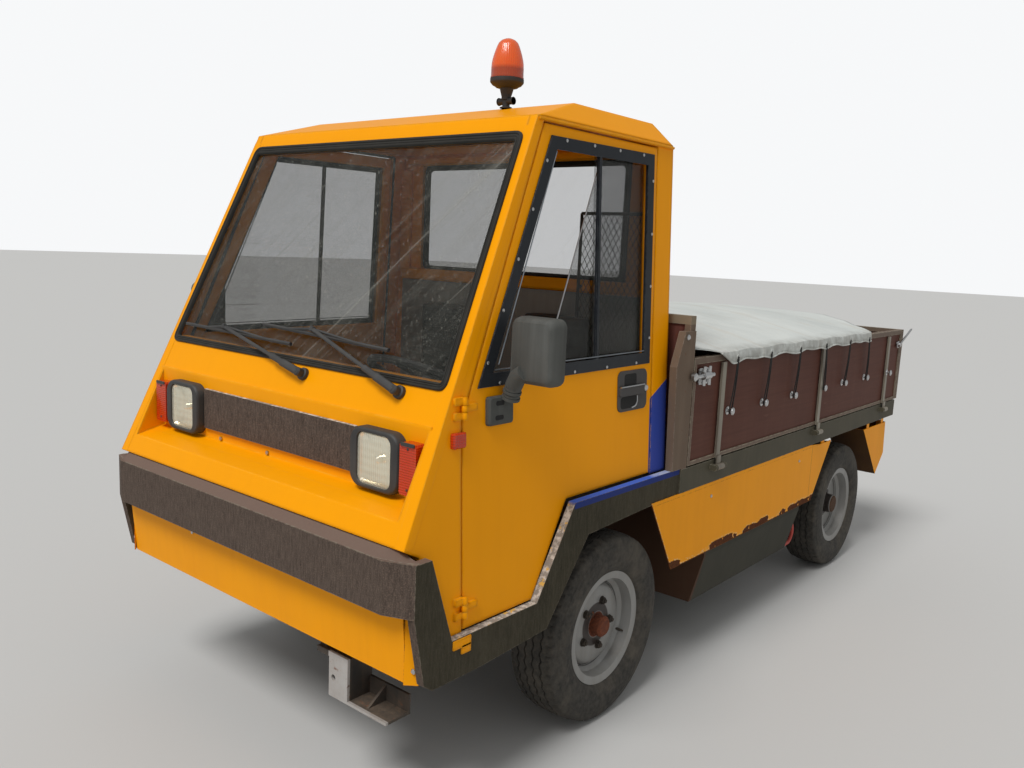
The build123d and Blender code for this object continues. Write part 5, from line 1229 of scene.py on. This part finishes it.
def make_door_parts(side_name, sign):
    body = f"door_{side_name}"
    screws = Form()
    for y, z in along_edges(list(WINDOW), 0.16, 0.008):
        screws.screw(on_side(y, z, 0.005), 0.0052, 0.0028)
    screws.show(f"{body}_screws", bright_steel, body, side=sign)

    # Inner channels of the sliding panes and the pull on the rear one
    rails = Form()
    inner = mm(-640, 1244, 155, 1250, 155, 1884, -366, 1880)
    rails.rails(inner, lambda y, z: side_at(y, z, -0.002), 0.0062, 4, True)
    rails.bar([side_at(-0.128, 1.256, -0.006), side_at(-0.128, 1.88, -0.006)], 0.005, 4)
    lines = Form()
    for (y0, z0), (y1, z1), depth in (((-0.622, 1.2585), (0.147, 1.2645), 0.0052),
                                      ((-0.6, 1.244), (0.16, 1.25), 0.0048),
                                      ((-0.604, 1.272), (-0.352, 1.868), 0.005)):
        lines.bar([side_at(y0, z0, depth - 0.0016), side_at(y1, z1, depth - 0.0016)], 0.0019, 6)
    lines.show(f"{body}_window_lines", frame_edge, body, side=sign)
    rails.show(f"{body}_window_channels", frame_black, body, side=sign)

    # Handle: a flat frame round two hollows, shown as flat near-black patches of painted shade, the pull bar between
    # them and the lock
    handle = Form()
    seat = on_side(0.084, 1.1365, 0.0)
    handle.slab(seat, rounded(0.178, 0.136, 0.022, 5), 0.0004, 0.0046, 0.0012)
    handle.slab(seat, rounded(0.15, 0.03, 0.006, 3, (-0.01, 0.0)), 0.004, 0.012, 0.003)
    handle.show(f"{body}_handle", handle_grey, body, side=sign)
    hollows = Form()
    hollows.slab(seat, rounded(0.074, 0.046, 0.01, 3, (-0.016, 0.034)), 0.004, 0.005)
    hollows.slab(seat, rounded(0.1, 0.04, 0.012, 3, (-0.024, -0.038)), 0.004, 0.005)
    hollows.show(f"{body}_handle_hollows", shade_black, body, side=sign)
    bright = Form()
    bright.bar([seat @ Vector((x, 0.0155, 0.0105)) for x in (-0.082, 0.064)], 0.003, 6)
    bow = [seat @ Vector(p) for p in ((0.026, -0.02, 0.006), (0.026, -0.04, 0.006), (0.02, -0.05, 0.006),
                                      (0.01, -0.055, 0.006), (-0.01, -0.0575, 0.006))]
    bright.bar(bow, 0.0026, 6)
    bright.turned(moved(seat, 0.078, 0.002, 0.004), mm(11, 0, 11, 5, 8, 7.5), 16)
    bright.show(f"{body}_handle_bright", bright_steel, body, side=sign)


def make_door_seals():
    """A rubber strip behind each door's edge."""
    seals = Form()
    edge = mm(-756, 560, -756, 1126, -411, 1948, 216, 1948, 216, 1050)
    seals.rails(edge, lambda y, z: side_at(y, z, -0.034), 0.0055, 6)
    seals.show("door_seals", window_rubber, both=True)


for side_name, sign in SIDES:
    make_door_parts(side_name, sign)
make_door_seals()


# Mirrors
def make_mirror(side_name, sign):
    """The mirror's shell, gaiter, bracket and glass, then the door window's frame."""
    body = f"door_{side_name}"
    shell = Form()
    seat = facing_front(0.8055, -0.6, 1.317)
    # How much the outline shrinks, and the depth behind the front face
    sections = ((0.84, 0.0), (0.91, -0.005), (0.965, -0.013), (1.0, -0.028), (1.0, -0.055), (0.985, -0.062))
    outline = rounded(0.15, 0.183, 0.024, 5)
    rings = shell.stack(seat, outline, sections)
    shell.face(rings[0])
    rim = shell.ring([seat @ Vector((x * 0.9, y * 0.9, -0.062)) for x, y in outline])
    well = shell.ring([seat @ Vector((x * 0.89, y * 0.89, -0.053)) for x, y in outline])
    shell.bridge(rings[-1], rim)
    shell.bridge(rim, well)
    shell.face(well)
    # The arm grows out of the shell's lower inner corner into a ribbed gaiter
    top, neck, foot = place(0.762, -0.59, 1.246), place(0.744, -0.586, 1.216), place(0.733, -0.583, 1.178)
    shell.bar([top + Vector((0.02, 0.0, 0.012)), top, neck], 0.0245, 14)
    for i in range(4):
        at = neck.lerp(foot, 0.16 + 0.24 * i)
        ahead = (foot - neck).normalized()
        shell.bar([at - ahead * 0.0038, at + ahead * 0.0038], 0.0262 if i % 2 else 0.024, 16)
    shell.bar([neck, foot], 0.021, 14)
    bracket = on_side(-0.602, 1.147, 0.0005)
    shell.slab(bracket, rounded(0.105, 0.08, 0.009, 4), 0.0, 0.015, 0.005)
    shell.show(f"{body}_mirror_shell", bleached_plastic, body, side=sign)
    # The bracket's two slots are flat near-black patches: painted shade
    slots = Form()
    for y, z in ((-0.008, 0.021), (-0.011, -0.019)):
        slots.slab(moved(bracket, y, z, 0.0147), rounded(0.034, 0.013, 0.005, 3), 0.0, 0.0009)
    slots.show(f"{body}_mirror_slots", shade_black, body, side=sign)
    glass = Form()
    glass.slab(facing_tail(0.804, -0.547, 1.315), [(x * 0.88, y * 0.88) for x, y in outline], 0.0, 0.002)
    glass.show(f"{body}_mirror_glass", lamp_bowl, body, side=sign)
    # The window's black frame, with the post between its panes
    border = Form()
    inner = mm(-628, 1251, 149, 1258, 149, 1878, -351, 1873)
    border.skin([[side_at(y, z, proud) for y, z in loop] for loop, proud in
                 ((WINDOW, 0.0004), (WINDOW, 0.005), (inner, 0.005), (inner, 0.0004))], around=True)
    post = mm(-134, 1254, -122, 1254, -122, 1876, -134, 1876)
    border.skin([[side_at(y, z, proud) for y, z in post] for proud in (0.0004, 0.0046)], end=True)
    border.show(f"{body}_window_frame", frame_black, body, bevel=0.0012, replaces=(f"{body}_trim",),
                side=sign)


for side_name, sign in SIDES:
    make_mirror(side_name, sign)


# Lamps
def make_front_lamps():
    """The lamps' bowls, bulbs, hoods and glasses, the bare name plate and the screws about them."""
    bowls = Form()
    back_y = front_y(1.11)
    for sign in (1, -1):
        seat = facing_front(sign * 0.489, back_y - 0.0085, 1.003)
        outline = rounded(0.128, 0.138, 0.014, 4)
        bowls.stack(seat, outline, ((1.0, 0.018), (0.94, 0.01), (0.72, 0.004), (0.34, 0.0008)), end=True)
        bowls.turned(moved(seat, 0, 0, 0.001), mm(12, 0, 12, 10, 6, 15), 14)
    bowls.show("lamp_bowls", lamp_bowl, slot="lamp_glass")

    hoods, glasses = Form(), Form()
    outer, inner = rounded(0.198, 0.171, 0.042, 7), rounded(0.136, 0.146, 0.026, 7)
    mid = [((a[0] + b[0]) / 2, (a[1] + b[1]) / 2) for a, b in zip(outer, inner)]
    for sign in (1, -1):
        seat = facing_front(sign * 0.489, back_y, 1.003)
        layers = ((outer, 1.0, 0.0004), (outer, 1.0, 0.026), (outer, 0.985, 0.031), (outer, 0.955, 0.0345),
                  (mid, 1.0, 0.0358),
                  (inner, 1.02, 0.035), (inner, 1.0, 0.0325), (inner, 1.0, 0.018))
        hoods.skin([[seat @ Vector((x * size, y * size, depth)) for x, y in loop] for loop, size,
                    depth in layers])
        glasses.stack(seat, inner, ((0.997, 0.024), (0.997, 0.03), (0.93, 0.0322), (0.7, 0.034),
                                    (0.35, 0.035)),
                      end=True)
        for x in (-0.088, 0.088):
            hoods.screw(moved(seat, x, -0.004, 0.0335), 0.0032, 0.002)
    plate = Form()
    plate.slab(facing_front(0.0, back_y, 0.0), rounded(0.772, 0.133, 0.003, 2, (0.0, 1.0115)), 0.0004, 0.0115,
               0.0015)
    plate.show("name_plate", band_black)
    hoods.show("lamp_hoods", black_plastic, replaces=("lamp_panel",))
    glasses.show("lamp_glasses", lamp_glass, smooth=50.0, replaces=("lamp_lenses",))

    screws = Form()
    for x in (-0.3, -0.04):
        screws.hex(facing_front(x, back_y - 0.0002, 0.921), 0.007, 0.006)
    screws.hex(facing_front(-0.285, -0.942, 0.628), 0.006, 0.005)
    for x in (-0.722, 0.722):
        screws.screw(facing_front(x, -0.9135, 0.496), 0.008, 0.004)
    screws.show("front_screws", bright_steel)

    caps = Form()
    for sign in (1, -1):
        seat = facing_front(sign * 0.624, back_y - 0.034, 1.07)
        caps.slab(seat, rounded(0.052, 0.01, 0.003), 0.0, 0.004, 0.001)
        for z in (0.948, 1.058):
            caps.screw(facing_front(sign * 0.624, back_y - 0.0345, z), 0.0035, 0.002)
    caps.show("indicator_caps", black_plastic)


make_front_lamps()


def make_corner_skins():
    """Thin yellow sheet bent round each front corner of the cab, over the joint of front and side."""
    shape = Form()
    rows = []
    for i in range(13):
        z = 0.8285 + (1.93 - 0.8285) * i / 12
        edge = side_x(z)
        row = [front_at(edge - 0.036, z, depth) for depth in (0.0001, 0.0006)]
        corner = front_at(edge + 0.0006, z, 0.0006)
        row += [corner, side_at(front_y(z) + 0.03, z, 0.0006), side_at(front_y(z) + 0.03, z, 0.0001)]
        rows.append(row)
    shape.skin(rows, closed=False)
    shape.show("corner_skins", cab_yellow, both=True)


def make_beam_top():
    """The beam's upper edge slopes up to meet the cab's nose."""
    shape = Form()
    half = [(0.644, -0.9855, 0.8235), (0.69, -0.9712, 0.8225), (0.722, -0.961, 0.808), (0.757, -0.9495, 0.8012)]
    rings = shape.skin([[place(x, y, 0.8002), place(x, min(y + 0.025, -0.936), z), place(x, -0.9345, z),
                         place(x, -0.9345, 0.8002)] for x, y, z in [(-x, y, z) for x, y, z in half[::-1]] + half])
    shape.face(rings[0])
    shape.face(rings[-1])
    shape.show("beam_top", band_black, bevel=0.002)


make_corner_skins()
make_beam_top()


def make_side_markers():
    shape = Form()
    shape.slab(on_side(-0.766, 1.084, 0.0004), rounded(0.05, 0.042, 0.006), 0.0, 0.014, 0.004)
    shape.show("side_markers", amber_lens, both=True)


make_side_markers()


def make_beacon():
    """The flashing lamp: a tapering dome over a turned black base, held by a clamp on its stem."""
    dome = Form()
    seat = seat_on(place(0.342, -0.2, 2.029), (1, 0, 0), (0, 1, 0))
    # Radius and height above the roof's crown
    profile = mm(53, 91.3, 53.6, 93.5, 52, 97.5, 51.8, 124, 50.8, 138, 48.8, 149, 44.6, 165, 39.8, 179, 35.6,
                 190.5, 30.6, 200.5, 22.2, 208.2, 11, 213)
    dome.turned(seat, profile, 48)
    dome.show("beacon_lens", beacon_amber, smooth=50.0, replaces=("beacon_dome",))

    base = Form()
    base.turned(seat, mm(20, 0, 20, 3, 12, 6, 12, 26, 15.5, 27, 15.5, 36, 19, 48, 22.5, 61, 35.5, 64, 38,
                         66.5, 47, 71, 53.5, 78.5, 54, 80, 54, 90, 52.5, 91.2), 36)
    base.bar([seat @ Vector((x, 0.0, 0.022)) for x in (-0.031, 0.031)], 0.011, 14)
    for x in (-0.031, 0.028):
        base.bar([seat @ Vector((x, 0.0, 0.022)), seat @ Vector((x + 0.003, 0.0, 0.022))], 0.0125, 14)
    base.show("beacon_stand", black_plastic, replaces=("beacon_base",))


make_beacon()


# Cab inside
REAR_WALL_Y = 0.2845


def make_mesh_guard():
    """Crossed wires on a frame behind the driver, over the rear window's left part."""
    shape = Form()
    x0, x1, z0, z1, y = 0.335, 0.636, 1.19, 1.725, 0.262
    step, slope = 0.024, 1.7

    def clip(x, z, dx, dz):
        t0, t1 = 0.0, 3.0
        for value, step_size, low, high in ((x, dx, x0, x1), (z, dz, z0, z1)):
            if step_size > 0:
                t0, t1 = max(t0, (low - value) / step_size), min(t1, (high - value) / step_size)
            else:
                t0, t1 = max(t0, (high - value) / step_size), min(t1, (low - value) / step_size)
        return t0, t1
    count = int(((z1 - z0) / slope + (x1 - x0)) / step) + 2
    for i in range(count):
        for sign in (1, -1):
            start_x = (x0 - (z1 - z0) / slope + i * step) if sign > 0 else (x0 + i * step)
            t0, t1 = clip(start_x, z0, sign / slope, 1.0)
            if t1 - t0 > 0.01:
                ends = [place(start_x + sign * t / slope, y + 0.0012 * sign, z0 + t) for t in (t0, t1)]
                shape.bar(ends, 0.0011, 4, cap=False)
    shape.rails([(x0, z0), (x1, z0), (x1, z1), (x0, z1)], lambda x, z: place(x, y, z), 0.006, 8, True)
    for x in (x0 + 0.01, x1 - 0.01):
        shape.bar([place(x, y, 1.46), place(x, REAR_WALL_Y, 1.46)], 0.006, 8)
    shape.show("mesh_guard", mesh_wire)


def make_rear_wall_lining():
    rail, panel = Form(), Form()
    for x, z, size in ((0.0, 1.462, (1.26, 0.044, 0.018)), (-0.615, 1.68, (0.06, 0.44, 0.014)),
                       (0.615, 1.68, (0.06, 0.44, 0.014)), (0.0, 1.935, (1.22, 0.026, 0.016))):
        rail.brick(facing_front(x, REAR_WALL_Y, z), size, 0.004)
    rail.show("rear_wall_rails", cab_yellow)
    panel.brick(facing_front(0.0, REAR_WALL_Y, 1.19), (1.26, 0.49, 0.006), 0.004)
    panel.show("rear_wall_panel", pale_board)


def make_dash_parts():
    shape = Form()
    tilt = seat_on(place(0.34, -0.672, 1.16), (1, 0, 0), (0, 0.95, -0.2))
    shape.slab(tilt, rounded(0.26, 0.1, 0.016, 4), 0.0, 0.028, 0.006)
    for x in (-0.075, 0.0, 0.075):
        shape.turned(moved(tilt, x, 0.006, 0.026), mm(26, 0, 26, 6, 23, 8), 20)
    for x in (-0.34, -0.28, -0.22, -0.16, -0.1):
        shape.brick(moved(tilt, x, 0.0, 0.0), (0.03, 0.02, 0.012), 0.003)
    stalk = place(0.34, -0.53, 1.095)
    for sign in (1, -1):
        shape.bar([stalk, stalk + Vector((sign * 0.09, 0.02, 0.012)),
                   stalk + Vector((sign * 0.15, 0.03, 0.02))], 0.006, 8)
    shape.show("dash_controls", black_plastic)
    pedals = Form()
    for x in (0.255, 0.425):
        seat = seat_on(place(x, -0.742, 0.64), (1, 0, 0), (0, -0.5, 0.85))
        pedals.slab(seat, rounded(0.06, 0.11, 0.01), -0.006, 0.006, 0.002)
        pedals.bar([seat @ Vector((0, 0, 0)), seat @ Vector((0, 0.02, -0.05)), place(x, -0.815, 0.66)],
                   0.007, 8)
    pedals.show("pedals", black_plastic)


make_mesh_guard()
make_rear_wall_lining()
make_dash_parts()


# Seats: frames that the filling takes, and the sewn channels' spacing, depth and half width as a share
FILL_FRAMES = 14
CHANNEL_STEP = 0.085
CHANNEL_DEPTH = 0.006
CHANNEL_HALF = 0.1


def cushion_mesh(name, low, high, corner):
    """A block with round upright edges and enough faces to swell."""
    shape = Form()
    size, middle, inset = high - low, (low + high) / 2, 0.022
    layers = ((0.93, 0.0), (1.0, inset), (1.0, size.z - inset * 1.4), (0.985, size.z - inset * 0.5), (0.93, size.z))
    shape.stack(Matrix.Translation((middle.x, middle.y, low.z)), rounded(size.x, size.y, corner, 6), layers, True, True)
    return shape.done(name)


def swell(piece, voxel, pressure, most):
    """Let the cushion fill like a bag, then hold each point near where it started."""
    remesh = piece.modifiers.new("even_skin", "REMESH")
    remesh.mode = "VOXEL"
    remesh.voxel_size = voxel
    depsgraph = bpy.context.evaluated_depsgraph_get()
    skin = bpy.data.meshes.new_from_object(piece.evaluated_get(depsgraph))
    piece.modifiers.clear()
    piece.data = skin
    before = [v.co.copy() for v in skin.vertices]
    cloth = piece.modifiers.new("fill", "CLOTH")
    cloth.settings.use_pressure = True
    cloth.settings.uniform_pressure_force = pressure
    cloth.settings.quality = 4
    cloth.settings.effector_weights.gravity = 0.0
    cloth.point_cache.frame_start = 1
    cloth.point_cache.frame_end = FILL_FRAMES
    scene = bpy.context.scene
    for step in range(1, FILL_FRAMES + 1):
        scene.frame_set(step)
    depsgraph = bpy.context.evaluated_depsgraph_get()
    filled = bpy.data.meshes.new_from_object(piece.evaluated_get(depsgraph))
    piece.modifiers.clear()
    for vert, start in zip(filled.vertices, before):
        move = vert.co - start
        if move.length > most:
            vert.co = start + move.normalized() * most
    piece.data = filled
    scene.frame_set(1)


def make_seats():
    """Two cushions and two backs, swollen once and set down on both sides."""
    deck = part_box("seats")[0].z
    parts = (("seat_cushion", Vector((0.105, -0.236 + AXLE_Y, deck + 0.002)),
              Vector((0.585, 0.25 + AXLE_Y, deck + 0.1)), 0.05),
             ("seat_back", Vector((0.13, 0.18 + AXLE_Y, deck + 0.114)),
              Vector((0.42, 0.25 + AXLE_Y, deck + 0.524)), 0.025))
    first = True
    for name, start, end, corner in parts:
        mesh = cushion_mesh(name, start, end, corner)
        piece = bpy.data.objects.new(f"{name}_left", mesh)
        bpy.context.scene.collection.objects.link(piece)
        swell(piece, 0.011, 3.0, 0.008)
        skin = piece.data
        # Sewn channels across the padding
        for vert in skin.vertices:
            if name == "seat_cushion":
                along, outward, crown = vert.co.y, Vector((0, 0, -1)), vert.co.z > end.z - 0.02
            else:
                along, outward, crown = vert.co.z, Vector((0, 1, 0)), vert.co.y < start.y + 0.02
            if crown:
                channel = abs(((along / CHANNEL_STEP) % 1.0) - 0.5)
                vert.co += outward * CHANNEL_DEPTH * max(0.0, 1.0 - channel / CHANNEL_HALF)
            if name == "seat_cushion":
                vert.co.z = max(vert.co.z, deck + 0.0003)
            vert.co.y = min(vert.co.y, 0.2835 + AXLE_Y)
        skin.materials.clear()
        skin.materials.append(seat_vinyl)
        other_mesh = skin.copy()
        for vert in other_mesh.vertices:
            vert.co.x = -vert.co.x
        other_mesh.flip_normals()
        other = bpy.data.objects.new(f"{name}_right", other_mesh)
        bpy.context.scene.collection.objects.link(other)
        for one in (piece, other):
            one.data.shade_smooth()
            smooth = one.modifiers.new("smooth_skin", "SUBSURF")
            smooth.levels = smooth.render_levels = 1
            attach(one, "truck")
            if first:
                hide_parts("seats")
                first = False


make_seats()


# Body details
def make_small_fittings():
    """Body screws, the roof's drip edges with the foot block, the skirts' top strips and the lifting ring."""
    screws = Form()
    for y in (0.618, 1.482):
        screws.screw(facing_left(0.7632, y, 0.68), 0.0065, 0.004)
    screws.screw(facing_left(0.7632, 0.341, 1.307), 0.0105, 0.007)
    screws.show("body_screws", bright_steel, both=True)

    yellow = Form()
    yellow.bar([side_at(y, 1.95, 0.0045) for y in (front_y(1.95) + 0.006, 0.31)], 0.0052, 6, 0.8)
    yellow.slab(facing_left(0.7585, -0.772, 0.541), rounded(0.07, 0.026, 0.003), 0.0, 0.004, 0.001)
    yellow.slab(facing_left(0.7585, -0.756, 0.521), rounded(0.038, 0.026, 0.003), 0.0, 0.004, 0.001)
    yellow.show("drip_edges", cab_yellow, both=True)

    strips = Form()
    strips.slab(facing_left(0.76, 0.0, 0.0), mm(181.5, 723.6, 1740, 723.6, 1610, 736.2, 173.8, 736.2),
                0.0, 0.003)
    strips.show("skirt_tops", skirt_yellow, both=True)

    ring = Form()
    path = [place(0.676, 1.652 + 0.052 * sin(pi * i / 16), 0.278 + 0.052 * cos(pi * i / 16))
            for i in range(17)]
    ring.bar([place(0.676, 1.567, 0.33)] + path + [place(0.676, 1.567, 0.226)], 0.009, 10)
    ring.show("lifting_ring", red_paint)


make_small_fittings()


# Stage, light and camera: focal length and width of the photograph in pixels, sensor width in millimetres
FOCAL_PX = 878.445
IMAGE_W = 1024.0
SENSOR_W = 36.0


def make_stage():
    mesh = bpy.data.meshes.new("floor")
    mesh.from_pydata([(x, y, -0.0005) for x, y in ((-60, -60), (60, -60), (60, 60), (-60, 60))], [],
                     [(0, 1, 2, 3)])
    floor = bpy.data.objects.new("floor", mesh)
    bpy.context.scene.collection.objects.link(floor)
    paint = bpy.data.materials.new("pale_floor")
    paint.use_nodes = True
    tree = paint.node_tree
    shader = tree.nodes["Principled BSDF"]
    shader.inputs["Base Color"].default_value = (0.56, 0.552, 0.535, 1.0)
    shader.inputs["Roughness"].default_value = 0.9
    mesh.materials.append(paint)

    world = bpy.data.worlds.new("studio")
    bpy.context.scene.world = world
    world.use_nodes = True
    tree = world.node_tree
    shade = tree.nodes["Background"]
    shade.inputs["Color"].default_value = (0.97, 0.99, 1.0, 1.0)
    shade.inputs["Strength"].default_value = 0.44
    seen = put(tree, "Background", {"Color": (0.93, 0.94, 0.95, 1.0), "Strength": 1.0})
    path = put(tree, "LightPath")
    joined = put(tree, "MixShader")
    tree.links.new(path.outputs["Is Camera Ray"], joined.inputs[0])
    tree.links.new(shade.outputs[0], joined.inputs[1])
    tree.links.new(seen.outputs[0], joined.inputs[2])
    tree.links.new(joined.outputs[0], tree.nodes["World Output"].inputs["Surface"])

    # One broad, soft light from straight ahead and above
    lamp = bpy.data.lights.new("key", "SUN")
    lamp.angle = radians(22.0)
    lamp.energy = 2.15
    holder = bpy.data.objects.new("key", lamp)
    bpy.context.scene.collection.objects.link(holder)
    holder.rotation_euler = Vector((-0.05, 0.67, -1.0)).to_track_quat("-Z", "Y").to_euler()


def make_camera():
    """The photograph's camera, as solved from the cab, bed and wheels."""
    azimuth, elevation, roll = radians(39.525), radians(8.78), radians(2.617)
    ahead = Vector((-sin(azimuth) * cos(elevation), cos(azimuth) * cos(elevation), -sin(elevation)))
    level_right = ahead.cross(Vector((0, 0, 1))).normalized()
    level_up = level_right.cross(ahead)
    right = level_right * cos(roll) + level_up * sin(roll)
    up = level_up * cos(roll) - level_right * sin(roll)
    data = bpy.data.cameras.new("photo_camera")
    data.sensor_width = SENSOR_W
    data.lens = FOCAL_PX / IMAGE_W * SENSOR_W
    data.clip_end = 200.0
    holder = bpy.data.objects.new("photo_camera", data)
    bpy.context.scene.collection.objects.link(holder)
    turn = Matrix((right, up, -ahead)).transposed().to_4x4()
    turn.translation = place(2.24659, -2.41403, 1.58752)
    holder.matrix_world = turn
    bpy.context.scene.camera = holder


make_stage()
make_camera()
bpy.context.scene.view_settings.view_transform = "Standard"
